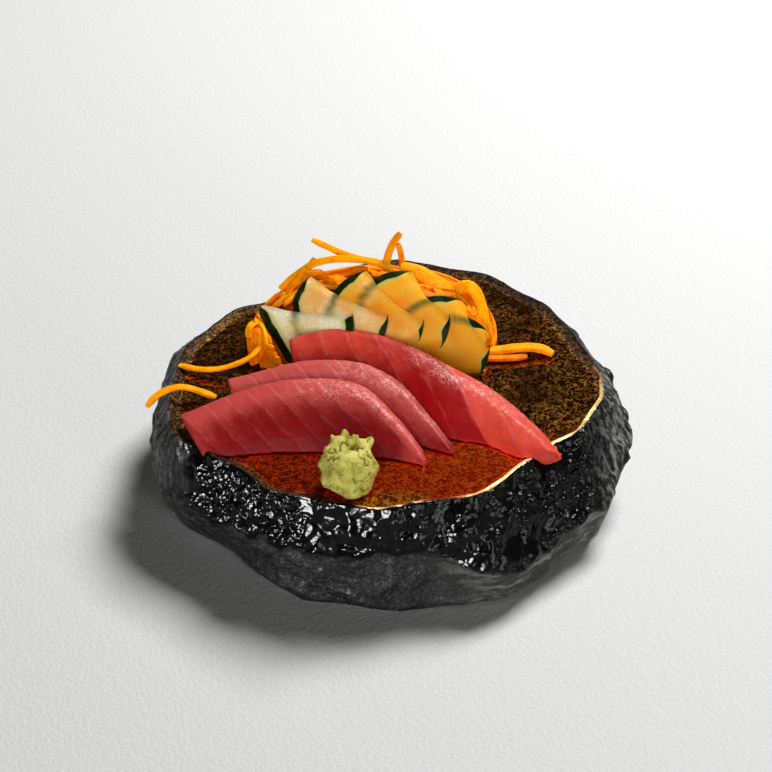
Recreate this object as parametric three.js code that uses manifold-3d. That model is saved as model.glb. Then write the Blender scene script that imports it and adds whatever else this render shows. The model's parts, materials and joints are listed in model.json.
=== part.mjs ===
// A dressed sashimi plate: a thick stone-look plate with chipped black sides and a glazed flat top,
// three slices of tuna that lean on one another, a fan of striped cucumber slices against a heap of
// carrot shreds, and a ball of wasabi in front. Millimetres, +Z up, the front of the dish towards -Y.
import * as THREE from 'three';
import Module from 'manifold-3d';

const wasm = await Module();
wasm.setup();

// ---------------------------------------------------------------- driving dimensions
const FACE_HEIGHT = 39.2;     // the glazed top stands this high above the table
const GAP = 0.32;             // air between pieces that touch
const WELD_GRID = 0.01;       // corners of a cut piece are set to this grid
const ORIGIN_SHIFT = [-2.3, -0.3]; // brings the middle of the whole dish over the origin

// Plate: outlines are [azimuth in degrees, radius], with straight chipped runs between the corners.
const RIM_CORNERS = [
  [0, 77.5], [20, 73], [37, 75.5], [59, 77.3], [86, 78.5], [102, 74], [119, 69], [134, 65],
  [144, 70.5], [167, 74], [185, 76], [200, 79.5], [209, 81], [228, 73.5], [240, 78.3], [268, 77.7],
  [294, 75.5], [301, 72.6], [312, 69.5], [324, 69.5], [334, 74.5], [350, 77],
];
// The ridge where the upper and lower chipped bands meet: [azimuth, radius, height].
const RIDGE_CORNERS = [
  [0, 85.5, 22], [15, 83.5, 26], [32, 82, 24], [55, 83.5, 20], [80, 84.5, 24], [103, 79.5, 21],
  [125, 74.5, 25], [148, 79, 27], [167, 82.5, 25], [187, 83.5, 21], [204, 87, 17], [216, 85, 22],
  [229, 79.5, 19], [241, 81, 22], [254, 80.5, 22], [264, 80.5, 23], [274, 79.5, 25], [284, 81, 22],
  [291, 87, 17], [300, 88.5, 14], [309, 86.5, 14], [318, 85.5, 17], [328, 88, 16], [339, 86.5, 19],
  [351, 88, 21],
];
// The hem just above the table, where the lower band turns under.
const HEM_HEIGHT = 3.5;
const HEM_CORNERS = [
  [0, 81], [20, 79], [45, 78.5], [75, 80], [100, 76], [126, 71], [150, 76], [172, 80], [196, 81.5],
  [208, 81], [222, 74.5], [238, 78.5], [250, 83], [260, 81], [272, 84], [290, 84.5], [298, 87],
  [309, 84.5], [322, 82], [335, 84], [349, 83],
];
const FOOT_INSET = 4.5;       // how far the flat foot stays inside the hem
const CREST_WIDTH = 2.6;      // the raised stone lip round the glaze
const CREST_TOP = 0.4;        // its top lies this share of the width inside the rim
const CREST_MEAN = 0.8;
const CREST_SWING = 0.55;     // the lip stands proudest at the front left
const CREST_PROUD_AZIMUTH = 205;
const LEDGE = 1.8;            // the upper band stands this far proud of the lower one at the ridge
const BAND_SWELL = 1.6;       // the upper band swells between the ridge and the rim
const SCALLOP = { size: 13, height: 11, depth: 2.2, mean: 0.35, shift: 0 }; // broad, sharp-edged hollows
const LUMP = { size: 5.5, height: 5, depth: 0.7, shift: 20 };
const PLATE_STEPS = 108;
// Rings of the wall as [share of the way up its band, share of the relief].
const HEM_TURN = [0.28, 0.1];
const LOWER_BAND_RINGS = [[0, 0.4], [0.5, 0.6]];
const RIDGE_RELIEF = [0.6, 0.8];
const UPPER_BAND_RINGS = [[0.25, 1], [0.5, 1], [0.75, 0.9], [1, 0.35]];
const LIP_RELIEF = 0.2;

// Tuna: each station is [upper edge x, y, z], [lower edge x, y, z], heights above the glaze.
const TUNA_THICKNESS = 6.2;
const TUNA_BULGE = 1.5;
const TUNA_BEVELS = [4.5, 4.5, 8]; // slant of the cut along the upper edge, towards the right end
const TUNA_LEAST_BEVEL = 0.8; // and towards the left end
const TUNA_BEVEL_GROWS = [0.3, 0.8]; // where along a slice it widens
const TUNA_END = { thickness: 0.42, length: 0.14 }; // shares of the whole, at both cut ends
const TUNA_CORNERS = [0.45, 0.6]; // squareness of the section, across and through
const TUNA_SLICES = [
  [
    [[-70.8, -29.0, 5.2], [-61.6, -48.4, 2.0]],
    [[-58.0, -27.2, 11.0], [-52.6, -49.4, 0.4]],
    [[-42.0, -25.2, 16.0], [-38.0, -47.4, 0.0]],
    [[-24.0, -24.2, 18.2], [-20.0, -47.4, 0.0]],
    [[-9.0, -25.0, 17.2], [-5.0, -49.6, 0.0]],
    [[2.0, -31.8, 11.6], [4.5, -51.6, 0.0]],
    [[9.5, -40.0, 6.4], [9.7, -53.0, 0.0]],
    [[14.0, -48.6, 2.6], [12.6, -53.6, 0.4]],
  ],
  [
    [[-55.3, -13.0, 9.2], [-50.0, -30.0, 0.8]],
    [[-41.6, -12.5, 13.3], [-38.0, -33.0, 0.0]],
    [[-29.6, -12.1, 16.5], [-26.0, -34.5, 0.0]],
    [[-15.9, -13.5, 18.0], [-12.0, -36.5, 0.0]],
    [[-5.5, -16.1, 18.0], [-2.0, -39.0, 0.0]],
    [[4.7, -21.1, 15.0], [7.0, -42.0, 0.0]],
    [[13.1, -29.6, 10.0], [14.5, -44.5, 0.0]],
    [[19.9, -38.0, 5.6], [19.5, -46.4, 0.0]],
    [[24.4, -45.0, 2.4], [23.2, -47.4, 0.4]],
  ],
  [
    [[-34.4, 1.4, 16.2], [-29.8, -17.0, 1.5]],
    [[-19.7, 2.6, 20.0], [-16.0, -21.0, 0.0]],
    [[-9.2, 0.4, 20.6], [-4.0, -26.0, 0.0]],
    [[4.8, -4.0, 19.4], [9.0, -32.0, 0.0]],
    [[18.4, -9.6, 16.8], [21.0, -40.0, 0.0]],
    [[32.8, -16.2, 13.4], [33.0, -42.6, 0.0]],
    [[47.0, -27.6, 8.9], [43.3, -49.8, 0.2]],
    [[55.6, -38.0, 5.6], [51.6, -50.6, 2.0]],
    [[60.4, -47.8, 4.0], [58.6, -51.0, 3.2]],
  ],
];
const TUNA_STEPS = 24;
const TUNA_SECTION_POINTS = 12;
const TUNA_KEEPS_CLEAR = 12;  // no carrot lies this close in front of a slice

// Cucumber: the slices lie like shingles on a domed plane that leans back against the heap.
// Places are [across, up the slope]. A flat is [direction in degrees, distance from the middle].
const FAN_ORIGIN = new THREE.Vector3(0, 9, FACE_HEIGHT + 19);
const FAN_LEAN = 60;          // degrees from the table
const FAN_RADIUS_ACROSS = 85; // dome radii of the plane
const FAN_RADIUS_UP = 70;
const FAN_PITCH = 10.5;       // across, from one slice to the next
const FAN_FIRST = -28.5;
const CUCUMBER_THICKNESS = 1.6;
const CUCUMBER_RISE = 2.0;    // each slice lies this far over the next
const CUCUMBER_SLICES = [
  { middle: [-28.5, -3], radius: 17.2, flats: [[82, 2.5], [218, 10]] },
  { middle: [-16.5, 0.5], radius: 17, flats: [[65, 8], [190, 15.4]] },
  { middle: [-4, -0.5], radius: 17, flats: [[50, 10.9], [300, 14]] },
  { middle: [5.4, -0.5], radius: 16.8, flats: [[42, 13.6], [290, 14]] },
  { middle: [18.8, -10], radius: 17.6, flats: [[32, 14.9], [270, 15]] },
  { middle: [23, -15.5], radius: 16.4, flats: [[2, 13.2], [130, 14]] },
];
const CUCUMBER_STEPS = 26;
const CUCUMBER_LEAST_STEP = 0.04; // radians between two corners
const CUCUMBER_INNER_RING = 0.55; // a ring inside the rind lets the faces bend
const CUCUMBER_KEEPS_CLEAR = 30;  // no carrot lies this close above a slice

// Carrot heap: a domed core with shreds laid over it and a few that stray on to the glaze.
const HEAP_MIDDLE = [-1, 19];
const HEAP_REACH = [38.5, 24, 27]; // right, back and up
const HEAP_REACH_LEFT = 46;
const HEAP_SQUARENESS = 2.2;
const HEAP_STEPS = [24, 6];
const HEAP_BUMP = { size: 7, depth: 1.3 };
const SHRED_WIDTH = 3;
const SHRED_THICKNESS = 2.2;
const SHRED_STEP = 7;
const SHRED_TIP = { width: 0.55, length: 0.12 }; // shares of the whole, at both blunt ends
// Shreds that wind over the dome: angles in degrees, the other values in millimetres.
const WINDING = {
  count: 25, seed: 11, points: 5, stretch: 0.75, narrowest: 0.45,
  elevations: [8, 58], elevationSpread: 8, headings: [-55, 55], lengths: [22, 38], waves: [-8, 8],
  turn: 222.5, turnSpread: 22, lift: 0.5, arch: 1.1, lowest: 3.5, highest: 86,
};
// Shreds that stray over the glaze, flat side up, as routes above it.
const STRAY_SHREDS = [
  [[-72.4, 3, 1.6], [-66, -0.8, 3], [-59, -3.6, 4.4], [-52, -2.4, 6.5], [-44, 2, 9], [-36, 8, 10]],
  [[-82.6, -22, 2], [-78, -18, 4.4], [-72, -15.6, 5.4], [-65, -14.6, 4.8], [-56, -10, 3.6],
    [-46, -2, 5], [-36, 6, 7]],
  [[60, 11.6, 1.4], [54, 12.6, 2.2], [46, 13.6, 2.4], [38, 14.4, 2.4], [28, 18, 4]],
  [[52, 10.6, 1.4], [45, 10.6, 1.6], [38, 12, 1.8], [30, 16, 2.6], [24, 20, 4]],
];
// Shreds that stand off the heap, flat side away from it: over the top, upright, then both flanks.
const PROUD_SHREDS = [
  [[-26.4, 33.6, 35], [-21, 31, 34.4], [-15, 27, 31], [-8, 23.5, 28.2], [0, 22, 26]],
  [[-37, 30, 18.5], [-30, 29.5, 24], [-22, 27.5, 28.8], [-13, 24.6, 30.6], [-3, 22.8, 30.4],
    [4, 20.6, 28], [9, 19, 24]],
  [[-22, 26, 28.5], [-28, 27, 25], [-32, 24, 19], [-35, 20, 14.6], [-36, 18, 9]],
  [[5, 26.8, 41.6], [2.4, 25.6, 38], [0.8, 24.2, 32.6], [0, 22, 27], [2, 19, 22]],
  [[3.4, 26, 39], [5, 25, 35], [6.6, 23.4, 30.4], [7.2, 21, 25], [7, 18, 20]],
  [[12, 19, 24], [19, 18.6, 26.4], [26, 17, 25], [32, 13.6, 19.6], [34.4, 10, 12]],
  [[8, 21, 26], [15, 21.6, 27], [23, 21, 24], [30, 19, 17], [33, 17, 9]],
  [[-46.5, 11, 10.6], [-45.5, 9.4, 7.4], [-43, 8, 4.6], [-38, 7, 3.4], [-30, 8, 6]],
  [[-40, 17, 16], [-43.6, 13, 12], [-44, 8, 8], [-40, 3.6, 4.4], [-33, 1, 3]],
];

// Wasabi: a pressed ball with torn peaks. A peak is [azimuth, elevation, height, half width in degrees].
const WASABI_MIDDLE = [-12.2, -64.9];
const WASABI_RADIUS = [9.7, 9.2, 8.9];
const WASABI_PEAKS = [
  [150, 62, 3.4, 13], [95, 74, 3.8, 13], [35, 60, 3.6, 13], [200, 52, 2.2, 15], [330, 50, 1.8, 16],
];
const WASABI_SWELLS = [[3, 1.1], [6, 0.5]]; // [how fine, how deep], coarse then fine
const WASABI_SUNK = 0.9;      // pressed flat underneath by this much
const WASABI_STEPS = [26, 14];

// ---------------------------------------------------------------- small helpers
const radians = THREE.MathUtils.degToRad;
const mix = THREE.MathUtils.lerp;
const middleOf = (ring) => ring.reduce((sum, p) => sum.add(p), new THREE.Vector3()).divideScalar(ring.length);

// How full a piece is near a blunt end, from its least share up to 1.
function bluntEnd(t, leastShare, length) {
  return mix(leastShare, 1, Math.sqrt(Math.min(1, Math.min(t, 1 - t) / length)));
}

function direction(azimuth, elevation) {
  const level = Math.cos(elevation);
  return new THREE.Vector3(Math.cos(azimuth) * level, Math.sin(azimuth) * level, Math.sin(elevation));
}

function seededRandom(seed) {
  let state = seed >>> 0;
  return () => {
    state = (state + 0x6d2b79f5) >>> 0;
    let t = Math.imul(state ^ (state >>> 15), 1 | state);
    t = (t + Math.imul(t ^ (t >>> 7), 61 | t)) ^ t;
    return ((t ^ (t >>> 14)) >>> 0) / 4294967296;
  };
}

// Smooth noise from -1 to 1, the same for the same place.
function latticeValue(ix, iy, iz) {
  const wave = Math.sin(ix * 127.1 + iy * 311.7 + iz * 74.7) * 43758.5453;
  return wave - Math.floor(wave);
}

function valueNoise(x, y, z) {
  const [ix, iy, iz] = [Math.floor(x), Math.floor(y), Math.floor(z)];
  const ease = (t) => t * t * (3 - 2 * t);
  const [fx, fy, fz] = [ease(x - ix), ease(y - iy), ease(z - iz)];
  const value = (dx, dy, dz) => latticeValue(ix + dx, iy + dy, iz + dz);
  const edge = (dy, dz) => mix(value(0, dy, dz), value(1, dy, dz), fx);
  return 2 * mix(mix(edge(0, 0), edge(1, 0), fy), mix(edge(0, 1), edge(1, 1), fy), fz) - 1;
}

// A corner list read at any azimuth: where a ray from the middle meets the straight run.
function readCorners(corners, azimuth) {
  const a = THREE.MathUtils.euclideanModulo(azimuth, 360);
  let next = corners.findIndex((corner) => corner[0] > a);
  if (next < 0) next = 0;
  const [a0, r0, h0 = 0] = corners[(next + corners.length - 1) % corners.length];
  const [a1, r1, h1 = 0] = corners[next];
  const toA0 = radians(THREE.MathUtils.euclideanModulo(a - a0, 360));
  const toA1 = radians(THREE.MathUtils.euclideanModulo(a1 - a, 360));
  const radius = (r0 * r1 * Math.sin(toA0 + toA1)) / (r0 * Math.sin(toA0) + r1 * Math.sin(toA1));
  return { radius, height: mix(h0, h1, toA0 / (toA0 + toA1)) };
}

// A closed body through rings of points, with a flat or fanned cap at each end.
function loft(rings, capMiddles = []) {
  const count = rings[0].length;
  const points = rings.flat().map((p) => p.clone());
  const index = [];
  for (let i = 0; i + 1 < rings.length; i++) {
    for (let j = 0; j < count; j++) {
      const [a, b] = [i * count + j, i * count + (j + 1) % count];
      index.push(a, b, b + count, a, b + count, a + count);
    }
  }
  const cap = (first, middle, reversed) => {
    const order = (a, b, c) => index.push(a, reversed ? c : b, reversed ? b : c);
    if (middle) {
      points.push(middle);
      for (let j = 0; j < count; j++) order(points.length - 1, first + j, first + (j + 1) % count);
      return;
    }
    const outline = points.slice(first, first + count).map((p) => new THREE.Vector2(p.x, p.y));
    const turn = THREE.ShapeUtils.isClockWise(outline) ? -1 : 1;
    for (const [a, b, c] of THREE.ShapeUtils.triangulateShape(outline, [])) {
      if (turn > 0) order(first + a, first + b, first + c);
      else order(first + a, first + c, first + b);
    }
  };
  cap(0, capMiddles[0], true);
  cap((rings.length - 1) * count, capMiddles[1], false);
  return solidFrom(points, index);
}

function solidFrom(points, index) {
  let volume = 0;
  for (let i = 0; i < index.length; i += 3) {
    const [a, b, c] = [points[index[i]], points[index[i + 1]], points[index[i + 2]]];
    volume += a.dot(new THREE.Vector3().crossVectors(b, c));
  }
  const triVerts = Uint32Array.from(index);
  if (volume < 0) {
    for (let i = 0; i < triVerts.length; i += 3) {
      [triVerts[i + 1], triVerts[i + 2]] = [triVerts[i + 2], triVerts[i + 1]];
    }
  }
  const vertProperties = Float32Array.from(points.flatMap((p) => [p.x, p.y, p.z]));
  return new wasm.Manifold(new wasm.Mesh({ numProp: 3, vertProperties, triVerts }));
}

// A solid with its corners on a fine grid, so that slivers fall away.
function welded(solid) {
  const { vertProperties, triVerts } = solid.getMesh();
  const points = [];
  const places = new Map();
  const corner = (i) => {
    const snapped = new THREE.Vector3().fromArray(vertProperties, 3 * i).divideScalar(WELD_GRID).round();
    const key = snapped.toArray().join();
    if (!places.has(key)) places.set(key, points.push(snapped.multiplyScalar(WELD_GRID)) - 1);
    return places.get(key);
  };
  const index = [];
  for (let i = 0; i < triVerts.length; i += 3) {
    const triangle = [0, 1, 2].map((k) => corner(triVerts[i + k]));
    if (new Set(triangle).size === 3) index.push(...triangle);
  }
  return solidFrom(points, index);
}

// The largest skin of a cut solid: loose scraps are dropped and sealed hollows are filled.
function largestSkin(solid) {
  const { vertProperties, triVerts } = welded(solid).getMesh();
  const points = [];
  for (let i = 0; i < vertProperties.length; i += 3) {
    points.push(new THREE.Vector3().fromArray(vertProperties, i));
  }
  const leader = points.map((_, i) => i);
  const find = (i) => {
    while (leader[i] !== i) i = leader[i] = leader[leader[i]];
    return i;
  };
  for (let i = 0; i < triVerts.length; i += 3) {
    leader[find(triVerts[i + 1])] = find(triVerts[i]);
    leader[find(triVerts[i + 2])] = find(triVerts[i]);
  }
  const skins = new Map();
  for (let i = 0; i < triVerts.length; i += 3) {
    const triangle = [...triVerts.slice(i, i + 3)];
    const [a, b, c] = triangle.map((corner) => points[corner]);
    const skin = skins.get(find(triangle[0])) ?? { volume: 0, index: [] };
    skin.volume += a.dot(new THREE.Vector3().crossVectors(b, c));
    skin.index.push(...triangle);
    skins.set(find(triangle[0]), skin);
  }
  const largest = [...skins.values()].reduce((best, skin) => (skin.volume > best.volume ? skin : best));
  return solidFrom(points, largest.index);
}

function meshOf(name, solid, { color, roughness, metalness = 0 }) {
  const { vertProperties, triVerts } = solid.getMesh();
  const geometry = new THREE.BufferGeometry();
  geometry.setAttribute('position', new THREE.BufferAttribute(vertProperties, 3));
  geometry.setIndex(new THREE.BufferAttribute(triVerts, 1));
  geometry.computeVertexNormals();
  const mesh = new THREE.Mesh(geometry, new THREE.MeshStandardMaterial({ color, roughness, metalness }));
  mesh.name = name;
  return mesh;
}

// ---------------------------------------------------------------- plate
function crestHeight(azimuth) {
  return CREST_MEAN + CREST_SWING * Math.cos(radians(azimuth - CREST_PROUD_AZIMUTH));
}

// Chipped relief: broad scallops with sharp edges between them, and smaller lumps on top.
function chippedRelief(x, y, z) {
  const noise = ({ size, height, shift }) => valueNoise(x / size + shift, y / size, z / height);
  return SCALLOP.depth * (Math.abs(noise(SCALLOP)) - SCALLOP.mean) + LUMP.depth * noise(LUMP);
}

// One ring of the plate's skin. Relief grows from nothing at the foot and fades at the lip.
function plateRing(radiusAt, heightAt, relief) {
  const ring = [];
  for (let i = 0; i < PLATE_STEPS; i++) {
    const azimuth = (360 * i) / PLATE_STEPS;
    const [cos, sin] = [Math.cos(radians(azimuth)), Math.sin(radians(azimuth))];
    const [radius, z] = [radiusAt(azimuth), heightAt(azimuth)];
    const out = radius + relief * chippedRelief(radius * cos, radius * sin, z);
    ring.push(new THREE.Vector3(out * cos, out * sin, z));
  }
  return ring;
}

function plateSolid(grow = 0) {
  const rim = (azimuth) => readCorners(RIM_CORNERS, azimuth).radius + grow;
  const ridge = (azimuth) => readCorners(RIDGE_CORNERS, azimuth).radius + grow;
  const ridgeHeight = (azimuth) => readCorners(RIDGE_CORNERS, azimuth).height;
  const hem = (azimuth) => readCorners(HEM_CORNERS, azimuth).radius + grow;
  const lip = (azimuth) => FACE_HEIGHT + crestHeight(azimuth) + grow;
  const lowerBand = ([share, relief]) => plateRing(
    (azimuth) => mix(hem(azimuth), ridge(azimuth), share),
    (azimuth) => mix(HEM_HEIGHT, ridgeHeight(azimuth), share),
    relief,
  );
  // The ledge: its underside is a little inside the ridge and its top a little outside.
  const ledge = (side, relief) => plateRing(
    (azimuth) => ridge(azimuth) + (side * LEDGE) / 2,
    (azimuth) => ridgeHeight(azimuth) + side,
    relief,
  );
  const upperBand = ([share, relief]) => plateRing(
    (azimuth) => mix(ridge(azimuth), rim(azimuth), share) + BAND_SWELL * Math.sin(Math.PI * share),
    (azimuth) => mix(ridgeHeight(azimuth), lip(azimuth), share),
    relief,
  );
  const [turnShare, turnRelief] = HEM_TURN;
  return loft([
    plateRing((azimuth) => hem(azimuth) - FOOT_INSET, () => 0, 0),
    plateRing((azimuth) => hem(azimuth) - turnShare * FOOT_INSET, () => turnShare * HEM_HEIGHT, turnRelief),
    ...LOWER_BAND_RINGS.map(lowerBand),
    ledge(-1, RIDGE_RELIEF[0]),
    ledge(1, RIDGE_RELIEF[1]),
    ...UPPER_BAND_RINGS.map(upperBand),
    plateRing((azimuth) => rim(azimuth) - CREST_TOP * CREST_WIDTH, lip, LIP_RELIEF),
    plateRing((azimuth) => rim(azimuth) - CREST_WIDTH, () => FACE_HEIGHT + grow, 0),
  ]);
}

// ---------------------------------------------------------------- tuna
const squared = (value, power) => Math.sign(value) * Math.abs(value) ** power;

// The slab between an upper and a lower edge curve: a rounded section, thinner at both cut ends.
// Grow widens it all round and front moves its showing face outwards, for a cutter.
function tunaSolid(order, grow = 0, front = 0) {
  const stations = TUNA_SLICES[order];
  const curve = (which) => new THREE.CatmullRomCurve3(
    stations.map((station) => new THREE.Vector3(...station[which]).setZ(station[which][2] + FACE_HEIGHT)),
  );
  const [upper, lower] = [curve(0), curve(1)];
  const rings = [];
  for (let i = 0; i <= TUNA_STEPS; i++) {
    const t = i / TUNA_STEPS;
    const [high, low] = [upper.getPoint(t), lower.getPoint(t)];
    const along = upper.getTangent(t).add(lower.getTangent(t)).normalize();
    const rise = high.clone().sub(low);
    const halfWidth = rise.length() / 2 + grow;
    rise.normalize();
    const out = new THREE.Vector3().crossVectors(along, rise).normalize();
    const half = (bluntEnd(t, TUNA_END.thickness, TUNA_END.length) * TUNA_THICKNESS) / 2;
    const bevelled = THREE.MathUtils.smoothstep(t, ...TUNA_BEVEL_GROWS);
    const bevel = mix(TUNA_LEAST_BEVEL, TUNA_BEVELS[order], bevelled);
    const middle = high.add(low).multiplyScalar(0.5).addScaledVector(out, -half);
    const ring = [];
    for (let j = 0; j < TUNA_SECTION_POINTS; j++) {
      const turn = (2 * Math.PI * (j + 0.5)) / TUNA_SECTION_POINTS;
      const across = squared(Math.cos(turn), TUNA_CORNERS[0]);
      const through = squared(Math.sin(turn), TUNA_CORNERS[1]);
      const bulge = TUNA_BULGE * (1 - across * across);
      const slant = (bevel * Math.max(0, across) * (1 + through)) / 2;
      const p = middle.clone().addScaledVector(rise, across * halfWidth - slant);
      p.addScaledVector(out, through * (half + grow) + bulge + (through > 0 ? front : 0));
      ring.push(p);
    }
    rings.push(ring);
  }
  const ends = [rings[0], rings.at(-1)].map(middleOf);
  ends[0].addScaledVector(upper.getTangent(0), -grow);
  ends[1].addScaledVector(upper.getTangent(1), grow);
  return loft(rings, ends);
}

// ---------------------------------------------------------------- cucumber
const lean = radians(FAN_LEAN);
const fanUp = new THREE.Vector3(0, Math.cos(lean), Math.sin(lean));
const fanOut = new THREE.Vector3(0, -Math.sin(lean), Math.cos(lean));

function fanPoint(across, up, lift) {
  const dome = -(across ** 2) / (2 * FAN_RADIUS_ACROSS) - (up ** 2) / (2 * FAN_RADIUS_UP);
  const p = FAN_ORIGIN.clone().add(new THREE.Vector3(across, 0, 0));
  return p.addScaledVector(fanUp, up).addScaledVector(fanOut, dome + lift);
}

// How far a slice reaches at an angle: its round, or a peeled side that is cut flat.
function cucumberReach({ radius, flats }, angle) {
  return flats.reduce((least, [towards, distance]) => {
    const facing = Math.cos(angle - radians(towards));
    return facing > 0 ? Math.min(least, distance / facing) : least;
  }, radius);
}

// Even steps round a slice, with the exact corners where its flats end or meet.
function cucumberAngles({ radius, flats }) {
  const angles = Array.from({ length: CUCUMBER_STEPS }, (_, i) => (2 * Math.PI * i) / CUCUMBER_STEPS);
  for (const [towards, distance] of flats) {
    const half = Math.acos(distance / radius);
    angles.push(radians(towards) - half, radians(towards) + half);
  }
  const [[d1, r1], [d2, r2]] = flats.map(([towards, distance]) => [radians(towards), distance]);
  const [x, y] = [r1 * Math.cos(d2) - r2 * Math.cos(d1), r1 * Math.sin(d2) - r2 * Math.sin(d1)];
  angles.push(Math.atan2(-x, y), Math.atan2(x, -y));
  const turned = angles.map((angle) => THREE.MathUtils.euclideanModulo(angle, 2 * Math.PI));
  turned.sort((a, b) => a - b);
  return turned.filter((angle, i) => i === 0 || angle - turned[i - 1] > CUCUMBER_LEAST_STEP);
}

// A round slice with its peeled sides cut flat. Below and above move its two faces for a cutter.
function cucumberSolid(order, { below = 0, above = 0, grow = 0 } = {}) {
  const slice = CUCUMBER_SLICES[order];
  const [middleAcross, middleUp] = slice.middle;
  const start = FAN_FIRST + FAN_PITCH * order - slice.radius;
  const face = (share, lift) => cucumberAngles(slice).map((angle) => {
    const reach = share * (cucumberReach(slice, angle) + grow);
    const across = middleAcross + reach * Math.cos(angle);
    const slope = (CUCUMBER_RISE * (across - start)) / FAN_PITCH;
    return fanPoint(across, middleUp + reach * Math.sin(angle), slope + lift);
  });
  const top = CUCUMBER_THICKNESS + above;
  const inner = CUCUMBER_INNER_RING;
  const rings = [face(inner, -below), face(1, -below), face(1, top), face(inner, top)];
  return loft(rings, [face(0, -below)[0], face(0, top)[0]]);
}

// ---------------------------------------------------------------- carrot heap
const heapBase = new THREE.Vector3(...HEAP_MIDDLE, FACE_HEIGHT);
const awayFromHeap = (p) => p.clone().sub(heapBase).divide(new THREE.Vector3(...HEAP_REACH)).normalize();
const upward = () => new THREE.Vector3(0, 0, 1);

function heapPoint(azimuth, elevation, lift = 0) {
  const out = direction(azimuth, elevation);
  const power = (value) => Math.abs(value) ** HEAP_SQUARENESS;
  const size = (power(out.x) + power(out.y) + power(out.z)) ** (1 / HEAP_SQUARENESS);
  const p = out.clone().multiply(new THREE.Vector3(...HEAP_REACH)).divideScalar(size);
  if (p.x < 0) p.x *= HEAP_REACH_LEFT / HEAP_REACH[0];
  const bump = HEAP_BUMP.depth * valueNoise(...p.clone().divideScalar(HEAP_BUMP.size));
  return p.addScaledVector(out, bump + lift).add(heapBase);
}

function heapCore() {
  const [around, levels] = HEAP_STEPS;
  const floor = FACE_HEIGHT + GAP;
  const rings = [];
  for (let level = 0; level < levels; level++) {
    const elevation = (Math.PI / 2) * (level / levels);
    rings.push(Array.from({ length: around }, (_, i) => {
      const p = heapPoint((2 * Math.PI * i) / around, elevation);
      return p.setZ(level === 0 ? floor : Math.max(p.z, floor));
    }));
  }
  return loft(rings, [heapBase.clone().setZ(floor), heapPoint(0, Math.PI / 2)]);
}

// A shred: a flat strip with rounded edges, swept along its route and tapered to blunt tips.
function shredSolid(route, outward) {
  const curve = new THREE.CatmullRomCurve3(route);
  const steps = Math.max(5, Math.round(curve.getLength() / SHRED_STEP));
  const rings = [];
  for (let i = 0; i <= steps; i++) {
    const t = i / steps;
    const [p, along] = [curve.getPoint(t), curve.getTangent(t)];
    const side = new THREE.Vector3().crossVectors(along, outward(p)).normalize();
    const up = new THREE.Vector3().crossVectors(side, along).normalize();
    const half = bluntEnd(t, SHRED_TIP.width, SHRED_TIP.length) / 2;
    rings.push([[1, 1], [-1, 1], [-1, -1], [1, -1]].map(([across, over]) => {
      const q = p.clone().addScaledVector(side, half * across * SHRED_WIDTH);
      return q.addScaledVector(up, half * over * SHRED_THICKNESS);
    }));
  }
  return loft(rings, [middleOf(rings[0]), middleOf(rings.at(-1))]);
}

// One of the shreds that wind over the dome, the first ones low and the last ones over the top.
function windingRoute(order, random) {
  const { count, points, stretch, lift, arch } = WINDING;
  const azimuth = radians(order * WINDING.turn + WINDING.turnSpread * random());
  const elevation = radians(mix(...WINDING.elevations, order / count) + WINDING.elevationSpread * random());
  const heading = radians(mix(...WINDING.headings, random()));
  const length = mix(...WINDING.lengths, random()) / HEAP_REACH[1];
  const wave = radians(mix(...WINDING.waves, random()));
  const route = [];
  for (let k = 0; k < points; k++) {
    const share = k / (points - 1);
    const along = length * (share - 0.5);
    const climb = along * Math.sin(heading) + wave * Math.sin(2 * Math.PI * share);
    const e = THREE.MathUtils.clamp(elevation + climb, radians(WINDING.lowest), radians(WINDING.highest));
    const round = (stretch * along * Math.cos(heading)) / Math.max(WINDING.narrowest, Math.cos(e));
    route.push(heapPoint(azimuth + round, e, lift + arch * Math.sin(Math.PI * share)));
  }
  return route;
}

function carrotHeap(cutters) {
  const aboveGlaze = (route) => route.map(([x, y, z]) => new THREE.Vector3(x, y, z + FACE_HEIGHT));
  const random = seededRandom(WINDING.seed);
  const winding = Array.from({ length: WINDING.count }, (_, order) => windingRoute(order, random));
  const shreds = [
    ...STRAY_SHREDS.map((route) => shredSolid(aboveGlaze(route), upward)),
    ...PROUD_SHREDS.map((route) => shredSolid(aboveGlaze(route), awayFromHeap)),
    ...winding.map((route) => shredSolid(route, awayFromHeap)),
  ];
  const whole = shreds.reduce((heap, shred) => heap.add(shred), heapCore());
  return largestSkin(cutters.reduce((heap, cutter) => heap.subtract(cutter), whole));
}

// ---------------------------------------------------------------- wasabi
function wasabiSolid() {
  const [around, levels] = WASABI_STEPS;
  const point = (azimuth, elevation) => {
    const out = direction(azimuth, elevation);
    let swell = 0;
    for (const [fineness, depth] of WASABI_SWELLS) {
      swell += depth * valueNoise(...out.clone().multiplyScalar(fineness));
    }
    for (const [peakAzimuth, peakElevation, height, halfWidth] of WASABI_PEAKS) {
      const peak = direction(radians(peakAzimuth), radians(peakElevation));
      swell += height * Math.exp(-((peak.angleTo(out) / radians(halfWidth)) ** 2));
    }
    const p = out.clone().multiply(new THREE.Vector3(...WASABI_RADIUS)).addScaledVector(out, swell);
    p.add(new THREE.Vector3(...WASABI_MIDDLE, FACE_HEIGHT + WASABI_RADIUS[2] - WASABI_SUNK));
    return p.setZ(Math.max(p.z, FACE_HEIGHT + GAP));
  };
  const rings = [];
  for (let level = 1; level < levels; level++) {
    const elevation = Math.PI * (level / levels - 0.5);
    rings.push(Array.from({ length: around }, (_, i) => point((2 * Math.PI * i) / around, elevation)));
  }
  return loft(rings, [point(0, -Math.PI / 2), point(0, Math.PI / 2)]);
}

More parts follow.
